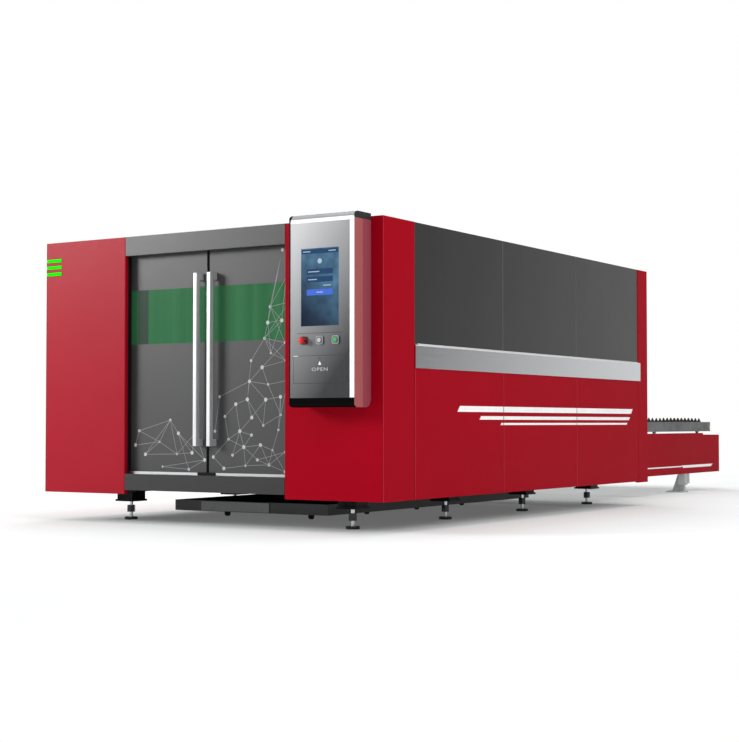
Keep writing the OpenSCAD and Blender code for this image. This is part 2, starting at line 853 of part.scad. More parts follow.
module table_leg() {
    out = web_t / 2;
    in = out - plate_w;
    hole_x = in + anchor_edge;
    difference() {
        box(in, out, -plate_l / 2, plate_l / 2, 0, plate_t);
        for (y = [-1, 1]) translate([hole_x, y * anchor_pitch / 2, -1]) cylinder(d = anchor_d, h = plate_t + 2);
    }
    g = weld_gap;
    sleeve_in = web_t - sleeve_w;
    post_in = sleeve_in + (sleeve_w - post_w) / 2;
    toe = hole_x + anchor_d;
    notch_z = sleeve_z - plate_t - 2 * g;
    stub_y = sleeve_w / 2 + stub_gap;
    box(post_in, post_in + post_w, -post_w / 2, post_w / 2, plate_t + g, sleeve_z - g);
    box(sleeve_in, web_t, -sleeve_w / 2, sleeve_w / 2, sleeve_z, skirt_z);
    translate([0, gusset_t / 2, plate_t + g]) rotate([90, 0, 0]) linear_extrude(gusset_t)
        polygon([[toe, 0], [post_in - g, 0], [post_in - g, notch_z], [sleeve_in - g, notch_z],
            [sleeve_in - g, gusset_h], [sleeve_in - g - gusset_top, gusset_h]]);
    box(web_t - stub_w, web_t, stub_y, stub_y + stub_w, stub_z, skirt_z);
}

// Console: rear housing, rounded front bezel, face plate, screen and collars
module console_housing() {
    color("silver") translate([console_x, 0, 0]) rotate([90, 0, 90]) linear_extrude(console_w) {
        difference() {
            translate([-housing_d, console_z]) square([housing_d, console_h]);
            translate([-housing_r, console_z]) square(housing_r);
        }
        intersection() {
            translate([-housing_r, console_z + housing_r]) circle(r = housing_r);
            translate([-housing_r, console_z]) square(housing_r);
        }
    }
}

module console_bezel() {
    d = bezel_d;
    color("silver") difference() {
        intersection() {
            translate([console_x, console_front, console_z]) linear_extrude(console_h)
                front_rounded(console_w, d, bezel_r);
            translate([console_x, console_front, console_z + console_h]) rotate([90, 0, 90])
                linear_extrude(console_w) rotate(-90) front_rounded(console_h, d, bezel_edge_r);
        }
        box(face_x0, face_x1, console_front - 1, 0, face_z0, face_z1);
    }
}

// Rectangle from the origin whose two corners on the front edge, at y = 0, are rounded
module front_rounded(w, d, r) {
    translate([0, r]) square([w, d - r]);
    translate([r, 0]) square([w - 2 * r, d]);
    for (x = [r, w - r]) translate([x, r]) circle(r = r);
}

module console_face() {
    sx = console_x + screen_x - screen_w / 2;
    color("gray") difference() {
        box(face_x0, face_x1, face_y, face_y + face_t, face_z0, face_z1);
        box(sx, sx + screen_w, face_y - 1, face_y + face_t + 1, console_z + screen_z, console_z + screen_z + screen_h);
        box(flap_left - fit_gap, flap_left + flap_w + fit_gap, face_y - 1, face_y + face_t + 1,
            flap_low - fit_gap, flap_low + flap_h + fit_gap);
        for (x = button_x) translate([console_x + x, face_y - 1, button_row_z]) rotate([-90, 0, 0])
            cylinder(d = stem_d + 2 * run_gap, h = face_t + 2);
    }
}

module console_screen() {
    sx = console_x + screen_x - screen_w / 2;
    color("midnightblue") {
        box(sx, sx + screen_w, face_y, face_y + face_t, console_z + screen_z, console_z + screen_z + screen_h);
        box(sx - fit_gap, sx + screen_w + fit_gap, face_y + face_t + weld_gap, -housing_d,
            console_z + screen_z - fit_gap, console_z + screen_z + screen_h + fit_gap);
    }
}

module button_collars() {
    color("dimgray") for (x = button_x) translate([console_x + x, collar_front, button_row_z]) rotate([-90, 0, 0])
        linear_extrude(collar_t) difference() {
            translate([-collar_w / 2, -collar_w / 2]) round_rect(collar_w, collar_w, collar_r);
            circle(d = button_d + 2 * run_gap);
        }
}

// Push button: cap in the collar and stem through the face plate
module push_button(x) {
    cap_h = button_rise + collar_t - button_travel - run_gap;
    translate([console_x + x, collar_front - button_rise, button_row_z]) rotate([-90, 0, 0]) {
        cylinder(d = button_d, h = cap_h);
        cylinder(d = stem_d, h = button_rise + collar_t + face_t + stem_back);
    }
}

module estop_button() {
    color("red") translate([console_x + estop_x, estop_front, button_row_z]) rotate([-90, 0, 0]) {
        intersection() {
            cylinder(d = estop_d, h = estop_t);
            translate([0, 0, estop_dome]) sphere(r = estop_dome);
        }
        translate([0, 0, estop_t / 2]) cylinder(d = stem_d, h = estop_rise + collar_t + face_t + stem_back);
    }
}

module pause_button() {
    color("lightgray") push_button(pause_x);
}

module start_button() {
    color("green") push_button(start_x);
}

module keyboard_flap() {
    color("gray") box(flap_left, flap_left + flap_w, face_y, face_y + flap_t, flap_low, flap_low + flap_h);
}

module keyboard() {
    m = keyboard_margin;
    y0 = face_y + flap_t;
    color("black") box(flap_left + m, flap_left + flap_w - m, y0, y0 + keyboard_t, flap_low + m, flap_low + flap_h - m);
}

// Right-hand door. The left one is its mirror image.
module door_leaf() {
    difference() {
        box(leaf_x0, leaf_x1, door_recess, leaf_back, leaf_z0, leaf_z1);
        box(leaf_x0 - 1, leaf_x1 + 1, door_recess - 1, door_recess + pane_t, window_z, window_z + window_h);
        box(leaf_x0 + window_rim, leaf_x1 - window_rim, 0, leaf_back + 1,
            window_z + window_rim, window_z + window_h - window_rim);
    }
    for (x = [leaf_x0 + hanger_l / 2, leaf_x1 - 1.5 * hanger_l]) {
        y1 = rail_bar_y - run_gap;
        top = rail_bar_z + rail_bar_h + run_gap;
        box(x, x + hanger_l, y1 - hanger_t, y1, leaf_z1 + weld_gap, top - weld_gap);
        box(x, x + hanger_l, y1 - hanger_t, front_post_y - run_gap, top, top + shoe_h);
    }
}

module door_window() {
    box(leaf_x0, leaf_x1, door_recess, door_recess + pane_t, window_z, window_z + window_h);
}

module door_handle() {
    y1 = door_recess - handle_gap;
    translate([handle_x - handle_w / 2, y1 - handle_d, handle_z])
        linear_extrude(handle_l) round_rect(handle_w, handle_d, handle_r);
    for (z = [handle_z, handle_z + handle_l - bracket_h])
        box(handle_x - handle_w / 2, handle_x + handle_w / 2, y1 + weld_gap, door_recess, z, z + bracket_h);
}

module left_door_leaf() {
    color("gray") mirror([1, 0, 0]) door_leaf();
}

module left_door_window() {
    color("seagreen") mirror([1, 0, 0]) door_window();
}

module left_door_handle() {
    color("silver") mirror([1, 0, 0]) door_handle();
}

module right_door_leaf() {
    color("gray") door_leaf();
}

module right_door_window() {
    color("seagreen") door_window();
}

module right_door_handle() {
    color("silver") door_handle();
}

// Gantry: beam on two legs with saddles over the rails
module gantry_beam() {
    x1 = saddle_x + saddle_w;
    front = -gantry_d / 2;
    section = [[front, gantry_z], [-front, gantry_z], [front + gantry_top_d, gantry_z + gantry_h],
        [front, gantry_z + gantry_h]];
    color("lightsteelblue") translate([0, gantry_y, 0]) {
        translate([-x1, 0, 0]) rotate([90, 0, 90]) linear_extrude(2 * x1) polygon(section);
        both_sides() {
            box(saddle_x, x1, -gantry_d / 2, gantry_d / 2, gantry_z - leg_h, gantry_z - weld_gap);
            box(saddle_x, x1, -saddle_l / 2, saddle_l / 2, saddle_z, saddle_z + saddle_t - weld_gap);
        }
    }
}

module cross_rails() {
    x1 = carriage_travel + carriage_w / 2;
    color("silver") translate([0, gantry_y, 0])
        for (z = [gantry_z + cross_rail_inset, gantry_z + gantry_h - cross_rail_inset - cross_rail])
            box(-x1, x1, cross_rail_y, -gantry_d / 2, z, z + cross_rail);
}

// Gearbox and motor outside each leg, over the rack
module gantry_drives() {
    x0 = saddle_x + saddle_w;
    half = gearbox_w / 2;
    inset = (gearbox_w - motor_w) / 2;
    color("black") translate([0, gantry_y, 0]) both_sides() {
        box(x0, x0 + gearbox_w, -half, half, bed_top + rack_w + rack_gap, gantry_z - weld_gap);
        box(x0 + inset, x0 + inset + motor_w, -motor_w / 2, motor_w / 2, gantry_z, gantry_z + motor_h);
    }
}

module head_carriage() {
    z1 = gantry_z + gantry_h;
    color("lightgray") translate([0, gantry_y, 0]) {
        box(-carriage_w / 2, carriage_w / 2, carriage_y, carriage_y + carriage_t, gantry_z, z1 - weld_gap);
        box(-motor_w / 2, motor_w / 2, carriage_y, carriage_y + motor_w, z1, z1 + motor_h);
    }
}

// Cutting head: slide plate and turned barrel
module cutting_head() {
    y1 = carriage_y - run_gap;
    barrel_z = nozzle_z + nozzle_h;
    r = head_d / 2;
    neck = 0.62 * r;
    cap = 0.5 * r;
    cone_h = 50;
    step_h = 20;
    body_z0 = cone_h + 2 * step_h;
    body_z1 = barrel_h - cone_h - step_h;
    profile = [[0, 0], [nozzle_d / 2, 0], [neck, cone_h], [neck, cone_h + step_h], [r, body_z0], [r, body_z1],
        [cap, body_z1 + step_h], [cap, barrel_h], [0, barrel_h]];
    color("gray") translate([0, gantry_y, 0]) {
        translate([0, head_y, barrel_z]) rotate_extrude() polygon(profile);
        box(-slide_w / 2, slide_w / 2, y1 - slide_t, y1, barrel_z + body_z0, barrel_z + body_z1);
    }
}

module cutting_nozzle() {
    color("peru") translate([0, gantry_y + head_y, nozzle_z])
        cylinder(d1 = nozzle_tip_d, d2 = nozzle_d, h = nozzle_h);
}

// Pallet frame at the upper level, outside the enclosure. Plates cover the wheels at both sides.
module pallet_frame() {
    z0 = rail_z + pallet_lift;
    z1 = z0 + pallet_h;
    b = pallet_beam_w;
    inner = pallet_half - b - weld_gap;
    bay = (pallet_l - 2 * b) / (pallet_cross_n + 1);
    translate([0, pallet_y, 0]) {
        both_sides() {
            difference() {
                box(pallet_half - b, pallet_half, 0, pallet_l, z0, z1);
                for (y = wheel_at) translate([0, y, rail_z + wheel_d / 2]) rotate([0, 90, 0])
                    cylinder(d = axle_d + 2 * shaft_gap, h = pallet_w);
            }
            box(channel_x, channel_x + channel_t, 0, pallet_l, z0, z1);
            for (y = [0, pallet_l - b])
                box(pallet_half + weld_gap, channel_x - weld_gap, y, y + b, z0, z1);
        }
        for (y = [0, pallet_l - b]) box(-inner, inner, y, y + b, z0, z1);
        for (i = [1:pallet_cross_n]) box(-inner, inner, i * bay + b / 2, i * bay + 1.5 * b, z0, z0 + pallet_cross_h);
    }
}

// Toothed slats that stand on the side beams and hang down between them
module pallet_slats() {
    top = rail_z + pallet_lift + pallet_h;
    pitch = (pallet_l - pallet_beam_w - slat_end) / slat_n;
    translate([0, pallet_y + pallet_beam_w + (pitch + slat_t) / 2, top])
        for (i = [0:slat_n - 1]) translate([0, i * pitch, 0]) rotate([90, 0, 0]) linear_extrude(slat_t) slat_outline();
}

module slat_outline() {
    inner = pallet_half - pallet_beam_w;
    step = 2 * slat_half / tooth_n;
    teeth = [for (i = [0:tooth_n - 1]) each [[slat_half - i * step, slat_rise - tooth_h],
        [slat_half - (i + 0.5) * step, slat_rise]]];
    polygon(concat([[-slat_half, slat_rise - tooth_h], [-slat_half, 0], [-inner, 0], [-inner, -slat_drop],
        [inner, -slat_drop], [inner, 0], [slat_half, 0]], teeth));
}

// Axle with a wheel at each end
module wheel_set(i) {
    translate([0, pallet_y + wheel_at[i], rail_z + wheel_d / 2]) rotate([0, 90, 0]) {
        translate([0, 0, weld_gap - wheel_x0]) cylinder(d = axle_d, h = 2 * (wheel_x0 - weld_gap));
        for (x = [-wheel_x1, wheel_x0]) translate([0, 0, x]) cylinder(d = wheel_d, h = wheel_w);
    }
}

// Moves a piece of the outer pallet to the lower level inside the enclosure
module at_lower_level() {
    translate([0, -pallet_travel, -level_drop]) children();
}

module upper_pallet_frame() {
    color("gray") pallet_frame();
}

module upper_pallet_slats() {
    color("gray") pallet_slats();
}

module upper_wheels_1() {
    color("dimgray") wheel_set(0);
}

module upper_wheels_2() {
    color("dimgray") wheel_set(1);
}

module upper_wheels_3() {
    color("dimgray") wheel_set(2);
}

module lower_pallet_frame() {
    color("gray") at_lower_level() pallet_frame();
}

module lower_pallet_slats() {
    color("gray") at_lower_level() pallet_slats();
}

module lower_wheels_1() {
    color("dimgray") at_lower_level() wheel_set(0);
}

module lower_wheels_2() {
    color("dimgray") at_lower_level() wheel_set(1);
}

module lower_wheels_3() {
    color("dimgray") at_lower_level() wheel_set(2);
}

// Lift door, raised above the passage
module rear_lift_door() {
    z0 = passage_z + passage_h + lift_clear;
    color("slategray") box(run_gap - passage_half, passage_half - run_gap, lift_y, lift_y + lift_t, z0, z0 + passage_h);
}

// Slag cart: open tray with a front plate, on small castors
module slag_cart() {
    x1 = cart_w / 2;
    w = cart_wall;
    plate_x = cart_plate_x - x1;
    plate_z = cart_z + (cart_h - cart_plate_h) / 2;
    color("dimgray") {
        difference() {
            box(-x1, x1, cart_y, cart_y + cart_l, cart_z, cart_z + cart_h);
            box(w - x1, x1 - w, cart_y + w, cart_y + cart_l - w, cart_z + w, cart_z + cart_h + 1);
        }
        box(plate_x, plate_x + cart_plate_w, cart_y - cart_plate_t, cart_y - weld_gap, plate_z, plate_z + cart_plate_h);
        for (x = [0, castor_track], i = [0:castor_n - 1])
            translate([castor_left + x - x1, cart_y + castor_first + i * castor_pitch, 0]) castor();
    }
}

// Wheel on its axle between the cheeks of a tapered fork
module castor() {
    axle_z = castor_d / 2;
    slot = castor_w + 2 * wheel_gap;
    fork_w = slot + 2 * fork_t;
    toe = pin_d / 2 + fork_t;
    difference() {
        translate([-fork_w / 2, 0, 0]) rotate([90, 0, 90]) linear_extrude(fork_w)
            polygon([[-toe, axle_z - toe], [toe, axle_z - toe], [fork_l / 2, cart_z - weld_gap],
                [-fork_l / 2, cart_z - weld_gap]]);
        box(-slot / 2, slot / 2, -fork_l, fork_l, 0, castor_d + wheel_gap);
    }
    translate([0, 0, axle_z]) rotate([0, 90, 0]) {
        cylinder(d = castor_d, h = castor_w, center = true);
        cylinder(d = pin_d, h = fork_w, center = true);
    }
}

framed() bed_frame();
framed() levelling_feet();
framed() gantry_rails();
framed() gear_racks();
framed() left_front_column();
framed() right_front_column();
framed() rear_columns();
framed() front_header();
framed() front_sill();
framed() door_top_track();
framed() door_bottom_track();
framed() door_stop();
framed() door_seals();
framed() enclosure_frame();
framed() left_upper_panels();
framed() right_upper_panels();
framed() left_lower_panels();
framed() right_lower_panels();
framed() trim_bands();
framed() rear_panels();
framed() roof_panels();
framed() lamp_bars();
framed() table_frame();
framed() table_side_skirts();
framed() table_end_skirt();
framed() table_legs();
framed() console_housing();
framed() console_bezel();
framed() console_face();
framed() console_screen();
framed() button_collars();
framed() left_door_leaf();
framed() left_door_window();
framed() left_door_handle();
framed() right_door_leaf();
framed() right_door_window();
framed() right_door_handle();
framed() keyboard_flap();
framed() keyboard();
framed() estop_button();
framed() pause_button();
framed() start_button();
framed() gantry_beam();
framed() cross_rails();
framed() gantry_drives();
framed() head_carriage();
framed() cutting_head();
framed() cutting_nozzle();
framed() upper_pallet_frame();
framed() upper_pallet_slats();
framed() upper_wheels_1();
framed() upper_wheels_2();
framed() upper_wheels_3();
framed() lower_pallet_frame();
framed() lower_pallet_slats();
framed() lower_wheels_1();
framed() lower_wheels_2();
framed() lower_wheels_3();
framed() rear_lift_door();
framed() slag_cart();
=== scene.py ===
"""Looks of an enclosed laser cutting machine with a two-level exchange table."""
import math
import random

import bmesh
import bpy
from mathutils import Matrix, Vector


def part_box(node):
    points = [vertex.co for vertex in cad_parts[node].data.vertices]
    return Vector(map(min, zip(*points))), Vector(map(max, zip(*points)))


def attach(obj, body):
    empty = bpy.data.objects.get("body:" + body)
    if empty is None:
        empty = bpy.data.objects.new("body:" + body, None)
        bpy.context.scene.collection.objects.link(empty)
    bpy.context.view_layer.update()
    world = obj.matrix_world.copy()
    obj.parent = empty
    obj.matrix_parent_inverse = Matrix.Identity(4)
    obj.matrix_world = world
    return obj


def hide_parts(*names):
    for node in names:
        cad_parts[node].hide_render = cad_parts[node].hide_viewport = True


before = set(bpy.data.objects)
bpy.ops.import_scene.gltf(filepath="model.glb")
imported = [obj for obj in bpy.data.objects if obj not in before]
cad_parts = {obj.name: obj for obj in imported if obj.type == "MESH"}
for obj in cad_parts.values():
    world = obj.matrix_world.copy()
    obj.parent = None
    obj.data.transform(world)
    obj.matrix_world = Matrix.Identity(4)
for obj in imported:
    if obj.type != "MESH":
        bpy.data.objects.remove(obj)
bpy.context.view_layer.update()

MM = 0.001
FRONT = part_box("front_header")[0][1]      # the front face, from which depth is counted


def linear(hexcode):
    """An sRGB hex colour as linear RGBA."""
    parts = [int(hexcode[i:i + 2], 16) / 255 for i in (1, 3, 5)]
    return (*[c / 12.92 if c <= 0.04045 else ((c + 0.055) / 1.055) ** 2.4 for c in parts], 1)


def tones(colour, spread):
    """A colour made darker and lighter by a share."""
    base = linear(colour)
    return [(*[min(1, c * share) for c in base[:3]], 1) for share in (1 - spread, 1 + spread)]


def add(tree, kind, inputs=None, **settings):
    """Adds a node with its settings. An input is named or numbered, and takes a value, an output that is
    linked to it, or a node whose first output is."""
    made = tree.nodes.new(kind)
    for key, value in settings.items():
        setattr(made, key, value)
    for key, value in (inputs or {}).items():
        if isinstance(value, bpy.types.Node):
            value = value.outputs[0]
        if isinstance(value, bpy.types.NodeSocket):
            tree.links.new(value, made.inputs[key])
        else:
            made.inputs[key].default_value = value
    return made


def extent(node):
    """Lowest and highest corner of a CAD node in mm, with depth counted from the front face."""
    low, high = (Vector(corner) / MM - Vector((0, FRONT / MM, 0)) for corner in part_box(node))
    return low, high


def new_piece(name, mesh, body, slot, *materials):
    """A finished piece at the origin, on its body. The slot is not used."""
    piece = bpy.data.objects.new(name, mesh)
    bpy.context.scene.collection.objects.link(piece)
    for material in materials:
        mesh.materials.append(material)
    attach(piece, body)
    return piece


def mesh_from(bm, name):
    """The mesh of closed shapes, with all faces turned outwards."""
    bmesh.ops.recalc_face_normals(bm, faces=bm.faces)
    mesh = bpy.data.meshes.new(name)
    bm.to_mesh(mesh)
    bm.free()
    return mesh


def prism(bm, outline, near, far, place, material=0):
    """A closed prism over an outline of (u, v) points in mm, from depth near to far.
    place turns a point and its depth into a place on the machine, in mm."""
    ends = [[bm.verts.new(Vector(place(u, v, d)) * MM) for u, v in outline] for d in (near, far)]
    faces = [bm.faces.new(end) for end in ends]
    n = len(outline)
    for i in range(n):
        j = (i + 1) % n
        faces.append(bm.faces.new((ends[0][i], ends[0][j], ends[1][j], ends[1][i])))
    for face in faces:
        face.material_index = material


def ring(bm, outer, inner, near, far, place, material=0):
    """A closed frame between two outlines of as many points, from depth near to far."""
    loops = [[bm.verts.new(Vector(place(u, v, d)) * MM) for u, v in outline]
             for outline, d in ((outer, near), (inner, near), (inner, far), (outer, far))]
    n = len(outer)
    for here, there in zip(loops, loops[1:] + loops[:1]):
        for i in range(n):
            j = (i + 1) % n
            bm.faces.new((here[i], here[j], there[j], there[i])).material_index = material


def on_front(u, v, d):
    """Across the front: u to the right, v up, d backwards from the front face."""
    return (u, FRONT / MM + d, v)


def on_right(u, v, d):
    """Along the right side: u backwards from the front face, v up, d to the right."""
    return (d, FRONT / MM + u, v)


def on_left(u, v, d):
    """Along the left side, as on the right one, with d to the left."""
    return (-d, FRONT / MM + u, v)


def rounded(x0, x1, z0, z1, r, steps=4):
    """Outline of a rectangle with round corners."""
    points = []
    corners = ((x1 - r, z1 - r, 0), (x0 + r, z1 - r, 90), (x0 + r, z0 + r, 180), (x1 - r, z0 + r, 270))
    for cx, cz, start in corners:
        for i in range(steps + 1):
            a = math.radians(start + 90 * i / steps)
            points.append((cx + r * math.cos(a), cz + r * math.sin(a)))
    return points


def rect(x0, x1, z0, z1):
    """Outline of a rectangle."""
    return [(x0, z0), (x1, z0), (x1, z1), (x0, z1)]


# Camera, at the photograph's place
camera_data = bpy.data.cameras.new("camera")
camera_data.sensor_width = 36
camera_data.lens = 74.4
camera = bpy.data.objects.new("camera", camera_data)
bpy.context.scene.collection.objects.link(camera)
camera.location = (6.8907, FRONT - 8.5745, 0.741)
camera.rotation_euler = (math.radians(91.934), 0, math.radians(32.548))
bpy.context.scene.camera = camera
bpy.context.scene.view_settings.view_transform = "Standard"


def studio_world():
    """White backdrop behind the machine and soft light from all round. In gloss it is dimmer: it brightens
    towards the left in front and towards the rear behind, as a long studio wall does that runs away from
    the camera."""
    world = bpy.data.worlds.new("studio")
    bpy.context.scene.world = world
    world.use_nodes = True
    t = world.node_tree
    t.nodes.clear()
    path = add(t, "ShaderNodeLightPath")
    way = add(t, "ShaderNodeSeparateXYZ", {0: add(t, "ShaderNodeTexCoord").outputs["Generated"]})
    left = add(t, "ShaderNodeMapRange", {0: way.outputs["X"], 1: -0.54, 2: -0.74, 3: 0.2, 4: 0.8})
    wall = add(t, "ShaderNodeMapRange", {0: way.outputs["Y"], 1: 0.83, 2: 0.94, 3: 0.0, 4: 1.15})
    rearward = add(t, "ShaderNodeMapRange", {0: way.outputs["Y"], 1: 0.2, 2: 0.6})
    bright = add(t, "ShaderNodeMix", {0: rearward, 2: left, 3: wall})
    light = add(t, "ShaderNodeBackground", {0: (1, 1, 1, 1), 1: 0.55})
    gloss = add(t, "ShaderNodeBackground", {0: (1, 1, 1, 1), 1: bright})
    backdrop = add(t, "ShaderNodeBackground", {0: (1, 1, 1, 1), 1: 1.0})
    clear = add(t, "ShaderNodeMath", {0: path.outputs["Is Camera Ray"],
                1: path.outputs["Is Transmission Ray"]}, operation="MAXIMUM")
    soft = add(t, "ShaderNodeMixShader", {0: path.outputs["Is Glossy Ray"], 1: light,
               2: gloss})
    seen = add(t, "ShaderNodeMixShader", {0: clear, 1: soft, 2: backdrop})
    add(t, "ShaderNodeOutputWorld", {0: seen})


def soft_box(name, place, aim, size, watts):
    """A studio light at a place counted from the middle of the front face, turned to its aim."""
    lamp = bpy.data.lights.new(name, "AREA")
    lamp.shape = "RECTANGLE"
    lamp.size, lamp.size_y = size
    lamp.energy = watts
    box = bpy.data.objects.new(name, lamp)
    bpy.context.scene.collection.objects.link(box)
    box.location = (place[0], FRONT + place[1], place[2])
    to = Vector((aim[0], FRONT + aim[1], aim[2])) - box.location
    box.rotation_euler = to.to_track_quat("-Z", "Y").to_euler()
    box.visible_camera = False


def pale_floor():
    """Painted studio floor: pale grey under the machine, white where it runs into the backdrop."""
    material = bpy.data.materials.new("studio floor paint")
    material.use_nodes = True
    t = material.node_tree
    t.nodes.clear()
    where = add(t, "ShaderNodeTexCoord").outputs["Object"]
    tone = add(t, "ShaderNodeTexNoise", {"Vector": where, "Scale": 3.0, "Detail": 3.0})
    colour = add(t, "ShaderNodeMix", {0: tone, 6: (0.70, 0.72, 0.72, 1), 7: (0.74, 0.76, 0.76, 1)},
                 data_type="RGBA")
    paint = add(t, "ShaderNodeBsdfDiffuse", {0: colour.outputs[2]})
    fill = add(t, "ShaderNodeEmission", {0: (1, 1, 1, 1), 1: 0.115})
    lit = add(t, "ShaderNodeAddShader", {0: paint, 1: fill})
    white = add(t, "ShaderNodeEmission", {0: (1, 1, 1, 1), 1: 1.0})
    flat = add(t, "ShaderNodeVectorMath", {0: where, 1: (0.5, 0.3, 0)}, operation="MULTIPLY")
    away = add(t, "ShaderNodeVectorMath", {0: flat}, operation="LENGTH")
    fade = add(t, "ShaderNodeMapRange", {0: away.outputs[1], 1: 1.3, 2: 3.2}, interpolation_type="SMOOTHSTEP")
    path = add(t, "ShaderNodeLightPath")
    seen = add(t, "ShaderNodeMath", {0: path.outputs["Is Camera Ray"],
               1: path.outputs["Is Transmission Ray"]}, operation="MAXIMUM")
    white_part = add(t, "ShaderNodeMath", {0: fade, 1: seen}, operation="MULTIPLY")
    mix = add(t, "ShaderNodeMixShader", {0: white_part, 1: lit, 2: white})
    add(t, "ShaderNodeOutputMaterial", {0: mix})
    bm = bmesh.new()
    bmesh.ops.create_grid(bm, x_segments=8, y_segments=8, size=45)
    floor = bpy.data.objects.new("floor", mesh_from(bm, "floor"))
    bpy.context.scene.collection.objects.link(floor)
    floor.data.materials.append(material)


studio_world()
pale_floor()
soft_box("front left box", (-9.6, -7.6, 5.2), (-0.5, 0, 1.1), (4.5, 3.6), 1230)
soft_box("right box", (8.5, -1.0, 5.5), (1.5, 3.6, 0.9), (7, 4), 330)
soft_box("top box", (0, 3.5, 8.5), (0, 3.5, 0), (7, 10), 500)
soft_box("rear box", (-7, 13, 6), (0, 4, 1), (6, 4), 500)


def new_finish(name):
    """An empty material, its tree and the place of each point on the machine in metres."""
    material = bpy.data.materials.new(name)
    material.use_nodes = True
    t = material.node_tree
    t.nodes.clear()
    return material, t, add(t, "ShaderNodeTexCoord").outputs["Object"]


def finished(material, tree, inputs):
    """The material, with a shader that has these inputs."""
    add(tree, "ShaderNodeOutputMaterial", {0: add(tree, "ShaderNodeBsdfPrincipled", inputs)})
    return material


def powder_coat(name, colour, rough, gloss):
    """Baked powder on folded sheet: an even colour with a faint orange peel and the slow waves of thin sheet.
    Real peel is 2 to 3 mm across. It is drawn 14 mm across here so that it shows from some metres away."""
    material, t, where = new_finish(name)
    slow = add(t, "ShaderNodeTexNoise", {"Vector": where, "Scale": 1 / 0.55, "Detail": 2.0})
    dust = add(t, "ShaderNodeTexNoise", {"Vector": where, "Scale": 1 / 0.06, "Detail": 4.0})
    peel = add(t, "ShaderNodeTexNoise", {"Vector": where, "Scale": 1 / 0.014, "Detail": 1.0})
    wave = add(t, "ShaderNodeTexNoise", {"Vector": where, "Scale": 1 / 0.4, "Detail": 0.0})
    dark, light = tones(colour, 0.05)
    tone = add(t, "ShaderNodeMix", {0: slow, 6: dark, 7: light}, data_type="RGBA")
    matt = add(t, "ShaderNodeMapRange", {0: dust, 3: rough - 0.05, 4: rough + 0.05})
    sheet = add(t, "ShaderNodeBump", {"Height": wave, "Strength": 0.3, "Distance": 0.004})
    skin = add(t, "ShaderNodeBump", {"Height": peel, "Strength": 0.12, "Distance": 0.0006,
                                     "Normal": sheet})
    return finished(material, t, {
        "Base Color": tone.outputs[2], "Roughness": matt, "Specular IOR Level": gloss, "Normal": skin})


def brushed_metal(name, colour, rough, along="Y", spread=0.12, metal=1.0):
    """Metal with a drawn grain: thin lines along the piece that stretch its highlights across the grain.
    The lines are drawn 4 mm apart, wider than real ones, so that they show."""
    material, t, where = new_finish(name)
    stretch = {"X": (2.0, 260, 260), "Y": (260, 2.0, 260), "Z": (260, 260, 2.0)}[along]
    lines = add(t, "ShaderNodeMapping", {"Vector": where, "Scale": stretch})
    grain = add(t, "ShaderNodeTexNoise", {"Vector": lines, "Scale": 1.0, "Detail": 3.0})
    dark, light = tones(colour, 0.1)
    tone = add(t, "ShaderNodeMix", {0: grain, 6: dark, 7: light}, data_type="RGBA")
    matt = add(t, "ShaderNodeMapRange", {0: grain, 3: rough - spread, 4: rough + spread})
    skin = add(t, "ShaderNodeBump", {"Height": grain, "Strength": 0.12, "Distance": 0.0004})
    return finished(material, t, {
        "Base Color": tone.outputs[2], "Roughness": matt, "Metallic": metal, "Normal": skin})


def worn_steel(name, light, dark, rough, patch=0.05):
    """Bare or blackened steel: mottled by mill scale, oil and use, with dull patches among shinier ones."""
    material, t, where = new_finish(name)
    scale = add(t, "ShaderNodeTexNoise", {"Vector": where, "Scale": 1 / patch, "Detail": 6.0,
                "Roughness": 0.65})
    spots = add(t, "ShaderNodeMapRange", {0: scale, 1: 0.35, 2: 0.68})
    tone = add(t, "ShaderNodeMix", {0: spots, 6: linear(dark), 7: linear(light)}, data_type="RGBA")
    matt = add(t, "ShaderNodeMapRange", {0: scale, 3: rough + 0.15, 4: rough - 0.1})
    skin = add(t, "ShaderNodeBump", {"Height": scale, "Strength": 0.25, "Distance": 0.0008})
    return finished(material, t, {
        "Base Color": tone.outputs[2], "Roughness": matt, "Metallic": 0.85, "Normal": skin})


def moulded(name, colour, rough, glow=0.0, gloss=0.5):
    """Moulded plastic, film or rubber: one colour right through, with a fine spark-eroded skin."""
    material, t, where = new_finish(name)
    grain = add(t, "ShaderNodeTexNoise", {"Vector": where, "Scale": 1 / 0.0025, "Detail": 2.0})
    slow = add(t, "ShaderNodeTexNoise", {"Vector": where, "Scale": 1 / 0.08, "Detail": 2.0})
    dark, light = tones(colour, 0.1)
    tone = add(t, "ShaderNodeMix", {0: slow, 6: dark, 7: light}, data_type="RGBA")
    matt = add(t, "ShaderNodeMapRange", {0: grain, 3: rough - 0.06, 4: rough + 0.06})
    skin = add(t, "ShaderNodeBump", {"Height": grain, "Strength": 0.2, "Distance": 0.0003})
    return finished(material, t, {
        "Base Color": tone.outputs[2], "Roughness": matt, "Specular IOR Level": gloss,
        "Emission Color": linear(colour), "Emission Strength": glow, "Normal": skin})


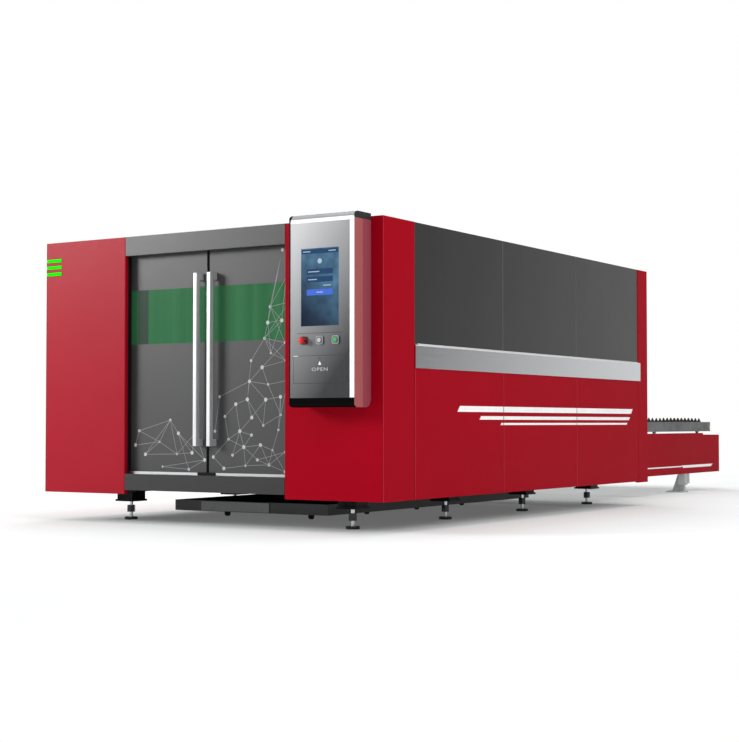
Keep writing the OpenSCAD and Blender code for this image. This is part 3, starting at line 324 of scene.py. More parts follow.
def layered(name, spread, gloss, first, *zones):
    """One node in several colours, each given as colour, metal and roughness: finishes of its own, and on the
    console painted highlights and reflections. A zone adds the box in mm, with depth counted from the front
    face, inside which its colour takes over. spread is how far grime changes the tone."""
    material, t, where = new_finish(name)
    at_box = 0.00001      # a point this near its place in the box, in metres, lies inside
    grime = add(t, "ShaderNodeTexNoise", {"Vector": where, "Scale": 1 / 0.02, "Detail": 5.0})
    dark, light = tones(first[0], spread)
    colour = add(t, "ShaderNodeMix", {0: grime, 6: dark, 7: light}, data_type="RGBA").outputs[2]
    metal, rough = first[1:]
    for hue, metallic, roughness, low, high in zones:
        low, high = (Vector((x, y + FRONT / MM, z)) * MM for x, y, z in (low, high))
        capped = add(t, "ShaderNodeVectorMath", {0: where, 1: high}, operation="MINIMUM")
        boxed = add(t, "ShaderNodeVectorMath", {0: capped, 1: low}, operation="MAXIMUM")
        off = add(t, "ShaderNodeVectorMath", {0: boxed, 1: where}, operation="DISTANCE")
        here = add(t, "ShaderNodeMath", {0: off.outputs[1], 1: at_box}, operation="LESS_THAN")
        dark, light = tones(hue, spread)
        tone = add(t, "ShaderNodeMix", {0: grime, 6: dark, 7: light}, data_type="RGBA").outputs[2]
        colour = add(t, "ShaderNodeMix", {0: here, 6: colour, 7: tone}, data_type="RGBA").outputs[2]
        metal = add(t, "ShaderNodeMix", {0: here, 2: metal, 3: metallic})
        rough = add(t, "ShaderNodeMix", {0: here, 2: rough, 3: roughness})
    uneven = add(t, "ShaderNodeMath", {0: grime, 1: spread, 2: rough}, operation="MULTIPLY_ADD")
    skin = add(t, "ShaderNodeBump", {"Height": grime, "Strength": 0.5 * spread, "Distance": 0.0004})
    return finished(material, t, {
        "Base Color": colour, "Metallic": metal, "Roughness": uneven, "Specular IOR Level": gloss,
        "Normal": skin})


def tinted_acrylic():
    """Green acrylic window: clear and glossy, darker in streaks, and with a painted dark band where a post of
    the inside shows through the left pane."""
    material, t, where = new_finish("green tinted acrylic")
    post_x, post_half = -0.610, 0.049
    streak = add(t, "ShaderNodeMapping", {"Vector": where, "Scale": (9, 1, 0.15)})
    shade = add(t, "ShaderNodeTexNoise", {"Vector": streak, "Scale": 1.0, "Detail": 3.0})
    across = add(t, "ShaderNodeSeparateXYZ", {0: where}).outputs["X"]
    # Painted dark band where a post inside shows through the left pane
    behind = add(t, "ShaderNodeMath", {0: across, 1: post_x, 2: post_half}, operation="COMPARE")
    tone = add(t, "ShaderNodeMix", {0: shade, 6: linear("#245937"), 7: linear("#427F55")},
               data_type="RGBA")
    tint = add(t, "ShaderNodeMix", {0: behind, 6: tone.outputs[2], 7: linear("#394A40")},
               data_type="RGBA")
    matt = add(t, "ShaderNodeMapRange", {0: shade, 3: 0.08, 4: 0.2})
    skin = add(t, "ShaderNodeBump", {"Height": shade, "Strength": 0.05, "Distance": 0.002})
    return finished(material, t, {
        "Base Color": tint.outputs[2], "Roughness": matt, "IOR": 1.49, "Specular IOR Level": 0.15,
        "Transmission Weight": 0.15, "Normal": skin})


def anodised_face():
    """Anodised console face: silver at the upper left that darkens to graphite at the lower right, with
    upright grain."""
    material, t, where = new_finish("graded anodised aluminium")
    low, high = (Vector(corner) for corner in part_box("console_face"))
    centred = add(t, "ShaderNodeMapping", {"Vector": where, "Location": -(low + high) / 2})
    slant = add(t, "ShaderNodeVectorMath", {0: centred, 1: (-1.3, 0, 1.0)},
                operation="DOT_PRODUCT")
    grade = add(t, "ShaderNodeMapRange", {0: slant.outputs[1], 1: -0.58, 2: 0.82})
    fine = add(t, "ShaderNodeMapping", {"Vector": where, "Scale": (300, 300, 3)})
    grain = add(t, "ShaderNodeTexNoise", {"Vector": fine, "Scale": 1.0, "Detail": 3.0})
    uneven = add(t, "ShaderNodeMath", {0: grain, 1: 0.06, 2: grade},
                 operation="MULTIPLY_ADD")
    tone = add(t, "ShaderNodeMix", {0: uneven, 6: linear("#2A2B2D"), 7: linear("#A6A7A9")},
               data_type="RGBA")
    matt = add(t, "ShaderNodeMapRange", {0: grain, 3: 0.36, 4: 0.48})
    skin = add(t, "ShaderNodeBump", {"Height": grain, "Strength": 0.08, "Distance": 0.0003})
    return finished(material, t, {
        "Base Color": tone.outputs[2], "Roughness": matt, "Metallic": 0.5, "Specular IOR Level": 0.3,
        "Normal": skin})


def lit_glass():
    """Lit screen under glass: deep blue that brightens in a soft slanting band."""
    material, t, where = new_finish("lit screen glass")
    low, high = (Vector(corner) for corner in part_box("console_screen"))
    centred = add(t, "ShaderNodeMapping", {"Vector": where, "Location": -(low + high) / 2})
    slant = add(t, "ShaderNodeVectorMath", {0: centred, 1: (0.9, 0, 1.0)}, operation="DOT_PRODUCT")
    band = add(t, "ShaderNodeMapRange", {0: slant.outputs[1], 1: -0.4, 2: 0.2},
               interpolation_type="SMOOTHSTEP")
    cloud = add(t, "ShaderNodeTexNoise", {"Vector": centred, "Scale": 1 / 0.09, "Detail": 4.0})
    mixed = add(t, "ShaderNodeMath", {0: band, 1: cloud}, operation="MULTIPLY")
    tint = add(t, "ShaderNodeMix", {0: mixed, 6: linear("#141C2C"), 7: linear("#527A98")},
               data_type="RGBA")
    matt = add(t, "ShaderNodeMapRange", {0: cloud, 3: 0.1, 4: 0.18})
    skin = add(t, "ShaderNodeBump", {"Height": cloud, "Strength": 0.02, "Distance": 0.001})
    return finished(material, t, {
        "Base Color": tint.outputs[2], "Roughness": matt, "Emission Color": tint.outputs[2],
        "Emission Strength": 0.3, "Specular IOR Level": 0.2, "Normal": skin})


def warning_tape():
    """Printed warning tape: slanting black and yellow bars, each 50 mm along the tape, slightly scuffed."""
    material, t, where = new_finish("black and yellow tape")
    bar = 0.05
    slant = add(t, "ShaderNodeVectorMath", {0: where, 1: (1, 1, 1)}, operation="DOT_PRODUCT")
    bars = add(t, "ShaderNodeMath", {0: slant.outputs[1], 1: 2 * bar}, operation="FLOORED_MODULO")
    black = add(t, "ShaderNodeMath", {0: bars, 1: bar}, operation="GREATER_THAN")
    scuff = add(t, "ShaderNodeTexNoise", {"Vector": where, "Scale": 1 / 0.015, "Detail": 5.0})
    yellow = add(t, "ShaderNodeMix", {0: scuff, 6: linear("#C79F12"), 7: linear("#E3BC25")},
                 data_type="RGBA")
    tone = add(t, "ShaderNodeMix", {0: black, 6: yellow.outputs[2], 7: linear("#141414")},
               data_type="RGBA")
    matt = add(t, "ShaderNodeMapRange", {0: scuff, 3: 0.35, 4: 0.55})
    skin = add(t, "ShaderNodeBump", {"Height": scuff, "Strength": 0.1, "Distance": 0.0003})
    return finished(material, t, {
        "Base Color": tone.outputs[2], "Roughness": matt, "Normal": skin})


# Where the finishes and the painted highlights and reflections meet on pieces that have several, in mm
ANY = 99999                                      # past the machine on every side
TRAY_Z = 73.5                                    # under the cart's tray, above its castors
PLATE_T = 9                                      # within the plate on the cart's front
PAD_TOP, NUT_LOW, NUT_HIGH = 19.9, 57.5, 110.5   # a foot's pad and the hexagon on its stud
GUARD_REACH = 30                                 # past the emergency stop, over its collar
WHITE_H = 26                                     # painted highlight along the bezel's upper edge
FLANK_SKIN, FLANK_DROP = 0.6, 46                 # the console's right flank, and its top part with a painted dark reflection
cart_face = extent("slag_cart")[0].y + PLATE_T
estop_low, estop_high = extent("estop_button")
face_low, face_high = extent("console_face")
bezel_low, bezel_high = extent("console_bezel")
side_x, side_top = bezel_high.x - FLANK_SKIN, bezel_high.z - FLANK_DROP
highlight_top = face_high.z + WHITE_H

# The left column has the same red paint as the rest; its copy is a little bluer and glossier as a painted
# sheen
red_coat_painted_sheen = powder_coat("red powder coat with a painted sheen", "#9A041E", 0.4, 0.13)
red_satin_coat = powder_coat("red satin powder coat", "#9A0419", 0.45, 0.02)
door_coat = powder_coat("graphite powder coat", "#373738", 0.4, 0.45)
sill_coat = powder_coat("dark graphite powder coat", "#2B2B2C", 0.45, 0.3)
side_grey = powder_coat("dark grey powder coat", "#232323", 0.3, 0.38)
frame_enamel = powder_coat("grey frame enamel", "#7E8081", 0.5, 0.4)
leg_enamel = powder_coat("light grey enamel", "#B2B3B4", 0.5, 0.4)
roof_coat = powder_coat("grey roof coat", "#55585A", 0.5, 0.3)
bed_black = worn_steel("blackened bed steel", "#2A2B2C", "#161617", 0.5, 0.12)
slat_steel = worn_steel("burnt slat steel", "#77726D", "#3F3C3A", 0.45, 0.03)
pallet_steel = worn_steel("grey pallet steel", "#8A8B8C", "#707172", 0.5, 0.15)
wheel_steel = worn_steel("turned wheel steel", "#8C8E90", "#5A5B5C", 0.35, 0.02)
copper = worn_steel("turned copper", "#C67F56", "#9C5E3C", 0.25, 0.01)
ground_steel = brushed_metal("ground rail steel", "#A8AAAD", 0.25)
band_aluminium = brushed_metal("satin aluminium band", "#D2D3D5", 0.2, spread=0.05)
handle_aluminium = brushed_metal("satin silver handle", "#D5D6D8", 0.36, "Z", metal=0.5)
strip_aluminium = brushed_metal("drawn aluminium strip", "#C9CACC", 0.35, "X")
# Light film, painted as the highlight along a trim band's upper edge
band_highlight_metal = brushed_metal("painted highlight on a band's edge", "#DEDFE0", 0.35, metal=0.2)
# A light grey strip in a seam, painted as the highlight on the folds beside it
seam_highlight_metal = brushed_metal("seam strip painted light as a fold highlight", "#707173", 0.45, "Z", metal=0.3)
motor_black = moulded("black motor housing", "#1C1D1F", 0.45)
seal_rubber = moulded("black seal rubber", "#0B0B0C", 0.7, gloss=0.2)
black_abs = moulded("black ABS", "#101011", 0.4)
red_abs = moulded("red signal ABS", "#D31419", 0.25)
green_abs = moulded("green lit cap", "#2FA24B", 0.25, 0.2)
grey_abs = moulded("grey cap ABS", "#B4B7BA", 0.3)
white_vinyl = moulded("white vinyl film", "#F4F4F4", 0.45)
pale_vinyl = moulded("pale grey vinyl film", "#8A8B8C", 0.45)
light_vinyl = moulded("light grey vinyl film", "#B4B5B6", 0.45)
# A lighter red, painted as the highlight on the folds of the lower panels and the column
fold_highlight_paint = moulded("painted highlight on a red fold", "#A82A3A", 0.5, gloss=0.2)
led_green = moulded("green lit diffuser", "#12DE08", 0.7, 0.15, gloss=0.0)
panel_blue = moulded("lit blue panel", "#1B3A5C", 0.2, 0.2, gloss=0.2)
button_blue = moulded("lit blue button", "#3D5FBC", 0.2, 0.2, gloss=0.2)
lit_white = moulded("lit white line", "#9AA8B8", 0.2, 0.2, gloss=0.2)
cart_steel = layered("grey tray steel on black castors", 0.2, 0.3, ("#0E0E0F", 0.0, 0.5),
                     ("#58595A", 0.3, 0.45, (-ANY, -ANY, TRAY_Z), (ANY, ANY, ANY)),
                     ("#8E8F90", 0.3, 0.4, (-ANY, -ANY, TRAY_Z), (ANY, cart_face, ANY)))
foot_steel = layered("black foot on a bright stud", 0.2, 0.5, ("#CFD0D2", 1.0, 0.1),
                     ("#3C3D3F", 1.0, 0.1, (-ANY, -ANY, 0), (ANY, ANY, PAD_TOP)),
                     ("#3C3D3F", 1.0, 0.1, (-ANY, -ANY, NUT_LOW), (ANY, ANY, NUT_HIGH)))
collar_steel = layered("turned collars, one with a dark red guard", 0.1, 0.3, ("#6E7072", 0.5, 0.3),
                       ("#5A1217", 0.0, 0.3, (estop_low.x - GUARD_REACH, -ANY, -ANY),
                        (estop_high.x + GUARD_REACH, ANY, ANY)))
# Painted highlights and reflections on the polished bezel: white where its rounded upper and right edges face
# the lights, black on its lower and left edges for the dark they reflect, and on its flank the red column
# beside it, dark at the top
bezel_steel = layered("polished steel bezel with black lower and left edge", 0.02, 0.03,
                      ("#9C9D9F", 0.3, 0.35),
                      ("#FAFAFA", 0.0, 0.3, (-ANY, -ANY, face_high.z - 1), (ANY, ANY, highlight_top)),
                      ("#FAFAFA", 0.0, 0.3, (face_high.x - 1, -ANY, -ANY), (ANY, ANY, highlight_top)),
                      ("#040404", 0.0, 0.4, (-ANY, -ANY, -ANY), (side_x, ANY, face_low.z + 1)),
                      ("#040404", 0.0, 0.4, (-ANY, -ANY, -ANY), (face_low.x - 1, ANY, ANY)),
                      ("#A45B59", 0.1, 0.4, (side_x, -ANY, -ANY), (ANY, ANY, side_top)),
                      ("#333435", 0.1, 0.4, (side_x, -ANY, side_top), (ANY, ANY, ANY)))
# Painted reflection on the housing's right flank: the red column beside it, dark at the top
console_steel = layered("polished console housing", 0.02, 0.1, ("#B5B7B9", 1.0, 0.25),
                        ("#934552", 0.1, 0.4, (side_x, -ANY, -ANY), (ANY, ANY, side_top)),
                        ("#333435", 0.1, 0.4, (side_x, -ANY, side_top), (ANY, ANY, ANY)))
green_acrylic = tinted_acrylic()
console_anodised = anodised_face()
screen_lit = lit_glass()
tape = warning_tape()

FINISH = {
    red_coat_painted_sheen: ["left_front_column"],
    red_satin_coat: ["right_front_column", "rear_columns", "left_lower_panels", "right_lower_panels",
                     "table_side_skirts", "table_end_skirt"],
    door_coat: ["front_header", "left_door_leaf", "right_door_leaf"],
    sill_coat: ["front_sill"],
    side_grey: ["left_upper_panels", "right_upper_panels", "rear_panels", "rear_lift_door"],
    roof_coat: ["roof_panels"],
    frame_enamel: ["enclosure_frame", "gantry_beam"],
    leg_enamel: ["table_legs", "head_carriage"],
    bed_black: ["bed_frame"],
    foot_steel: ["levelling_feet"],
    ground_steel: ["gantry_rails", "gear_racks", "cross_rails", "door_top_track"],
    strip_aluminium: ["door_bottom_track"],
    handle_aluminium: ["left_door_handle", "right_door_handle"],
    band_aluminium: ["trim_bands", "cutting_head"],
    green_acrylic: ["left_door_window", "right_door_window"],
    collar_steel: ["button_collars"],
    black_abs: ["keyboard"],
    seal_rubber: ["door_seals", "door_stop"],
    led_green: ["lamp_bars"],
    console_steel: ["console_housing"],
    bezel_steel: ["console_bezel"],
    console_anodised: ["console_face", "keyboard_flap"],
    screen_lit: ["console_screen"],
    red_abs: ["estop_button"],
    grey_abs: ["pause_button"],
    green_abs: ["start_button"],
    motor_black: ["gantry_drives"],
    copper: ["cutting_nozzle"],
    pallet_steel: ["upper_pallet_frame", "lower_pallet_frame", "table_frame"],
    slat_steel: ["upper_pallet_slats", "lower_pallet_slats"],
    cart_steel: ["slag_cart"],
    wheel_steel: [f"{level}_wheels_{i}" for level in ("upper", "lower") for i in (1, 2, 3)],
}
for finish, nodes in FINISH.items():
    for node in nodes:
        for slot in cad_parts[node].material_slots:
            slot.material = finish


def new_tree(name, *lengths, counts=()):
    """A geometry tree and its inputs, named for the counts and lengths that they set."""
    tree = bpy.data.node_groups.new(name, "GeometryNodeTree")
    tree.interface.new_socket("Geometry", in_out="INPUT", socket_type="NodeSocketGeometry")
    for labels, kind in ((counts, "NodeSocketInt"), (lengths, "NodeSocketFloat")):
        for label in labels:
            tree.interface.new_socket(label, in_out="INPUT", socket_type=kind)
    tree.interface.new_socket("Geometry", in_out="OUTPUT", socket_type="NodeSocketGeometry")
    return tree, add(tree, "NodeGroupInput").outputs


def end_tree(tree, *parts):
    """Makes each part real, gives it its material and joins them."""
    whole = add(tree, "GeometryNodeJoinGeometry")
    for part, material in parts:
        real = add(tree, "GeometryNodeRealizeInstances", {0: part})
        skin = add(tree, "GeometryNodeSetMaterial", {0: real, "Material": material})
        tree.links.new(skin.outputs[0], whole.inputs[0])
    add(tree, "NodeGroupOutput", {0: whole})


def grown(name, tree, seed_mesh=None, **sizes):
    """The plain mesh that a tree makes with these sizes."""
    seed = bpy.data.objects.new(name + "_seed", seed_mesh or bpy.data.meshes.new(name + "_seed"))
    bpy.context.scene.collection.objects.link(seed)
    modifier = seed.modifiers.new("grow", "NODES")
    modifier.node_group = tree
    for item in tree.interface.items_tree:
        if item.in_out == "INPUT" and item.name in sizes:
            modifier[item.identifier] = sizes[item.name]
    mesh = bpy.data.meshes.new_from_object(seed.evaluated_get(bpy.context.evaluated_depsgraph_get()))
    bpy.data.objects.remove(seed)
    mesh.name = name
    return mesh


def net_tree():
    """Film cut as a net: a thin bar along every edge and a disc on every point.
    Each edge's length and direction are kept on it before it becomes a point."""
    tree, size = new_tree("net of lines and dots", "Line", "Dot", "Film")
    ends = add(tree, "GeometryNodeInputMeshEdgeVertices")
    along = add(tree, "ShaderNodeVectorMath", {0: ends.outputs["Position 2"], 1: ends.outputs["Position 1"]},
                operation="SUBTRACT")
    length = add(tree, "ShaderNodeVectorMath", {0: along}, operation="LENGTH")
    turn = add(tree, "FunctionNodeAlignRotationToVector", {"Vector": along}, axis="X")
    bar_size = add(tree, "ShaderNodeCombineXYZ", {0: length.outputs[1], 1: size["Film"],
                   2: size["Line"]})
    turned = add(tree, "GeometryNodeStoreNamedAttribute", {0: size["Geometry"], "Name": "turn",
                 "Value": turn}, data_type="QUATERNION", domain="EDGE")
    sized = add(tree, "GeometryNodeStoreNamedAttribute", {0: turned, "Name": "size",
                "Value": bar_size}, data_type="FLOAT_VECTOR", domain="EDGE")
    middles = add(tree, "GeometryNodeMeshToPoints", {0: sized}, mode="EDGES")
    kept_turn = add(tree, "GeometryNodeInputNamedAttribute", {"Name": "turn"}, data_type="QUATERNION")
    kept_size = add(tree, "GeometryNodeInputNamedAttribute", {"Name": "size"}, data_type="FLOAT_VECTOR")
    bar = add(tree, "GeometryNodeMeshCube", {"Size": (1, 1, 1)})
    bars = add(tree, "GeometryNodeInstanceOnPoints", {0: middles, "Instance": bar,
               "Rotation": kept_turn, "Scale": kept_size})
    disc = add(tree, "GeometryNodeMeshCylinder", {"Vertices": 14, "Radius": size["Dot"],
               "Depth": size["Film"]})
    spots = add(tree, "GeometryNodeMeshToPoints", {0: size["Geometry"]}, mode="VERTICES")
    weight = add(tree, "GeometryNodeInputNamedAttribute", {"Name": "weight"}, data_type="FLOAT")
    dots = add(tree, "GeometryNodeInstanceOnPoints", {0: spots, "Instance": disc,
               "Rotation": (math.pi / 2, 0, 0), "Scale": weight})
    end_tree(tree, (bars, pale_vinyl), (dots, light_vinyl))
    return tree


def key_tree():
    """Key caps in straight rows: flat-topped pyramids on a grid that faces backwards."""
    tree, size = new_tree("rows of key caps", "Width", "Height", "Cap", "Rise", counts=("Columns", "Rows"))
    field = add(tree, "GeometryNodeMeshGrid", {
        "Size X": size["Width"], "Size Y": size["Height"],
        "Vertices X": size["Columns"], "Vertices Y": size["Rows"]})
    upright = add(tree, "GeometryNodeTransform", {0: field, "Rotation": (math.pi / 2, 0, 0)})
    foot = add(tree, "ShaderNodeMath", {0: size["Cap"], 1: 1 / math.sqrt(2)}, operation="MULTIPLY")
    crown = add(tree, "ShaderNodeMath", {0: foot, 1: 0.8}, operation="MULTIPLY")
    cap = add(tree, "GeometryNodeMeshCone", {"Vertices": 4, "Radius Top": crown,
              "Radius Bottom": foot, "Depth": size["Rise"]})
    caps = add(tree, "GeometryNodeInstanceOnPoints", {0: upright, "Instance": cap.outputs["Mesh"],
               "Rotation": (-math.pi / 2, math.pi / 4, 0)})
    end_tree(tree, (caps, grey_abs))
    return tree


def rack_tree():
    """Gear rack: a bar with a row of straight teeth on top."""
    tree, size = new_tree("toothed rack", "Pitch", "Width", "Body", "Tooth", counts=("Teeth",))
    span = add(tree, "ShaderNodeMath", {0: size["Teeth"], 1: size["Pitch"]},
               operation="MULTIPLY")
    bar_size = add(tree, "ShaderNodeCombineXYZ", {0: size["Width"], 1: span,
                   2: size["Body"]})
    bar = add(tree, "GeometryNodeMeshCube", {"Size": bar_size})
    lift = add(tree, "ShaderNodeMath", {0: size["Body"], 1: 0.5}, operation="MULTIPLY")
    raised = add(tree, "ShaderNodeCombineXYZ", {2: lift})
    seat = add(tree, "GeometryNodeTransform", {0: bar, "Translation": raised})
    room = add(tree, "ShaderNodeMath", {0: span, 1: size["Pitch"]}, operation="SUBTRACT")
    first = add(tree, "ShaderNodeMath", {0: room, 1: -0.5}, operation="MULTIPLY")
    start = add(tree, "ShaderNodeCombineXYZ", {1: first, 2: size["Body"]})
    step = add(tree, "ShaderNodeCombineXYZ", {1: size["Pitch"]})
    row = add(tree, "GeometryNodeMeshLine", {"Count": size["Teeth"],
              "Start Location": start, "Offset": step})
    tooth = add(tree, "GeometryNodeMeshCone", {"Vertices": 4, "Radius Top": 0.32,
                "Radius Bottom": math.sqrt(0.5), "Depth": 1.0})
    square = add(tree, "GeometryNodeTransform", {0: tooth.outputs["Mesh"], "Rotation": (0, 0, math.pi / 4)})
    tooth_size = add(tree, "ShaderNodeCombineXYZ", {0: size["Width"], 1: size["Pitch"],
                     2: size["Tooth"]})
    teeth = add(tree, "GeometryNodeInstanceOnPoints", {0: row, "Instance": square,
                "Scale": tooth_size})
    end_tree(tree, (seat, ground_steel), (teeth, ground_steel))
    return tree


def screw_tree(material):
    """A row of round heads with a recess, along Y on a face that looks up."""
    tree, size = new_tree("row of screws", "Pitch", "Radius", "Rise", counts=("Count",))
    step = add(tree, "ShaderNodeCombineXYZ", {1: size["Pitch"]})
    row = add(tree, "GeometryNodeMeshLine", {"Count": size["Count"], "Offset": step})
    head = add(tree, "GeometryNodeMeshCylinder", {"Vertices": 16, "Radius": size["Radius"],
               "Depth": size["Rise"]})
    looks = add(tree, "ShaderNodeSeparateXYZ", {0: add(tree, "GeometryNodeInputNormal")})
    top = add(tree, "FunctionNodeCompare", {"A": looks.outputs["Z"], "B": 0.9}, operation="GREATER_THAN")
    lip = add(tree, "GeometryNodeExtrudeMesh", {0: head.outputs["Mesh"], "Selection": top,
              "Offset Scale": 0.0})
    inner = add(tree, "GeometryNodeScaleElements", {0: lip.outputs["Mesh"], "Selection": lip.outputs["Top"],
                "Scale": 0.55})
    depth = add(tree, "ShaderNodeMath", {0: size["Rise"], 1: -0.6}, operation="MULTIPLY")
    pit = add(tree, "GeometryNodeExtrudeMesh", {0: inner, "Selection": lip.outputs["Top"],
              "Offset Scale": depth})
    heads = add(tree, "GeometryNodeInstanceOnPoints", {0: row, "Instance": pit.outputs["Mesh"]})
    end_tree(tree, (heads, material))
    return tree


def net_points(side, count, seed):
    """Points of the film net on one door, in mm: dense at the foot and, on the right door, towards the
    outer edge."""
    inner, outer, foot, head, spacing, tries = 22, 715, 400, 1995, 105, 20000
    rng = random.Random(seed)
    points = []
    for _ in range(tries):
        x, z = rng.uniform(inner, outer), rng.uniform(foot, head)
        low, out = (head - z) / (head - foot), (x - inner) / (outer - inner)
        want = 1.7 * low ** 2 + 1.3 * out ** 2 - 0.75 if side > 0 else 2.2 * low - 1.62
        if rng.random() < want and all(math.hypot(x - a, z - b) > spacing for a, b in points):
            points.append((x, z))
        if len(points) == count:
            break
    return [(side * x, z) for x, z in points]


def net_seed(points, y, reach, seed):
    """The net as points and edges: every point is tied to some of its six nearest neighbours within reach."""
    rng = random.Random(seed)
    edges = set()
    for i, p in enumerate(points):
        near = sorted((math.dist(p, q), j) for j, q in enumerate(points) if j != i)[:6]
        for far, j in rng.sample(near, rng.choice((1, 2, 2, 3))):
            if far < reach:
                edges.add((i, j) if p[0] <= points[j][0] else (j, i))
    mesh = bpy.data.meshes.new("net")
    mesh.from_pydata([(x * MM, y, z * MM) for x, z in points], sorted(edges), [])
    weight = mesh.attributes.new("weight", "FLOAT", "POINT")
    for item in weight.data:
        item.value = rng.uniform(0.65, 1.2)
    return mesh


def one_mesh(name, meshes):
    """Several meshes as one."""
    bm = bmesh.new()
    for mesh in meshes:
        bm.from_mesh(mesh)
    whole = bpy.data.meshes.new(name)
    bm.to_mesh(whole)
    bm.free()
    return whole


# Film net on the doors
NET_FILM, NET_LINE, NET_DOT, NET_REACH = 0.2, 2.8, 12, 520
net = net_tree()
leaf_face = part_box("right_door_leaf")[0][1]
for side, body, count, seed in ((1, "right_door", 40, 11), (-1, "left_door", 12, 5)):
    seed_mesh = net_seed(net_points(side, count, seed), leaf_face - NET_FILM * MM / 2, NET_REACH, seed + 1)
    mesh = grown(f"{body}_net", net, seed_mesh, Line=NET_LINE * MM, Dot=NET_DOT * MM, Film=NET_FILM * MM)
    new_piece(f"{body}_net", mesh, body, "grey_plastic")

# Sizes of what lies along the sides
lower_low, lower_high = extent("right_lower_panels")
upper_low, upper_high = extent("right_upper_panels")
column_low, column_high = extent("right_front_column")
band_low, band_high = extent("trim_bands")
skirt_face = extent("table_side_skirts")[1].x
PANELS, SEAM = 3, 4                               # panels in a row and the gap between two of them
panel_pitch = (lower_high.y - lower_low.y + SEAM) / PANELS
seams = [lower_low.y - SEAM / 2 + i * panel_pitch for i in range(PANELS + 1)]
SIDE_FILM, MARGIN, CLEAR = 0.3, 1, 3              # film, its distance from a panel's ends and from a seam
FOLD_W, FOLD_INSET = 5, 1                         # painted highlight line on a fold, and its distance from the front
STRIP_HALF, STRIP_SUNK, STRIP_PROUD = 2.5, 5, 1   # light strip over a seam of the upper panels, painted as the highlight on its folds
BAND_CHAMFER, BAND_OVER, EDGE_DROP = 11, 40, 16   # the trim band's upper edge and its ends over the columns, and how far down its painted highlight reaches
STRIPE_LEAN = 0.9                                 # slant of a stripe's ends, as a share of its height
# Lower and upper edge, start and end of each stripe
SIDE_STRIPES = ((820, 862, 1000, 4180), (764, 790, 1330, 4120), (724, 740, 1660, 4060))
# A thin line along the table's skirt that widens into a leaning end
SKIRT_STRIPE = (rect(4545, 6912, 273, 285), [(6960, 262), (7790, 262), (7850, 289), (6912, 289)])


def side_stripes(place):
    """White film stripes on one side's lower panels, cut at the seams, and the one on the table's skirt."""
    bm = bmesh.new()
    for low, high, start, end in SIDE_STRIPES:
        lean = STRIPE_LEAN * (high - low)
        for a, b in zip(seams, seams[1:]):
            u0, u1 = max(start, a + CLEAR), min(end, b - CLEAR)
            first = u0 + (lean if u0 == start else 0)
            last = u1 - (lean if u1 == end else 0)
            outline = [(u0, low), (last, low), (u1, high), (first, high)]
            prism(bm, outline, lower_high.x, lower_high.x + SIDE_FILM, place)
    for outline in SKIRT_STRIPE:
        prism(bm, outline, skirt_face, skirt_face + SIDE_FILM, place)
    return bm


def seam_highlight_strips(place):
    """Thin strips over the two inner seams of one side's upper panels, light grey as a painted highlight of
    the folds.
    """
    bm = bmesh.new()
    for y in seams[1:PANELS]:
        outline = rect(y - STRIP_HALF, y + STRIP_HALF, upper_low.z + MARGIN, upper_high.z - MARGIN)
        prism(bm, outline, upper_high.x - STRIP_SUNK, upper_high.x + STRIP_PROUD, place)
    return bm


def fold_highlights(place):
    """Painted highlight: a lighter red line on the front fold of each lower panel and of the column."""
    bm = bmesh.new()
    for y in seams[:PANELS]:
        outline = rect(y + CLEAR, y + CLEAR + FOLD_W, lower_low.z + MARGIN, lower_high.z - MARGIN)
        prism(bm, outline, lower_high.x, lower_high.x + SIDE_FILM, place)
    outline = rect(FOLD_INSET, FOLD_INSET + FOLD_W, column_low.z + MARGIN, column_high.z - MARGIN)
    prism(bm, outline, column_high.x, column_high.x + SIDE_FILM, place)
    return bm


def band_highlight(side):
    """Painted highlight along the upper edge of one trim band: light film over its chamfer, with a wedge
    where it overlaps a column.
    """
    top, out = band_high.z, band_high.x
    lip = [(out, top - BAND_CHAMFER), (out, top - EDGE_DROP), (out + SIDE_FILM, top - EDGE_DROP),
           (out + SIDE_FILM, top - BAND_CHAMFER)]
    chamfer = [(out - BAND_CHAMFER, top + SIDE_FILM), (out - BAND_CHAMFER, top)]
    wedge = [(column_high.x, top + column_high.x - out), (column_high.x, top - BAND_CHAMFER)]
    bm = bmesh.new()
    for near, far, rest in ((band_low.y, band_low.y + BAND_OVER, wedge),
                            (band_low.y + BAND_OVER, band_high.y - BAND_OVER, chamfer),
                            (band_high.y - BAND_OVER, band_high.y, wedge)):
        prism(bm, [(side * x, z) for x, z in lip + rest], near, far, on_front)
    return bm


for name, place, side in (("right", on_right, 1), ("left", on_left, -1)):
    for part, bm, slot, material in (
            ("stripes", side_stripes(place), "grey_plastic", white_vinyl),
            ("seam_highlight_strips", seam_highlight_strips(place), "brushed_aluminium", seam_highlight_metal),
            ("fold_highlights", fold_highlights(place), "red_paint", fold_highlight_paint),
            ("band_highlight", band_highlight(side), "brushed_aluminium", band_highlight_metal)):
        new_piece(f"{name}_{part}", mesh_from(bm, f"{name}_{part}"), "machine", slot, material)

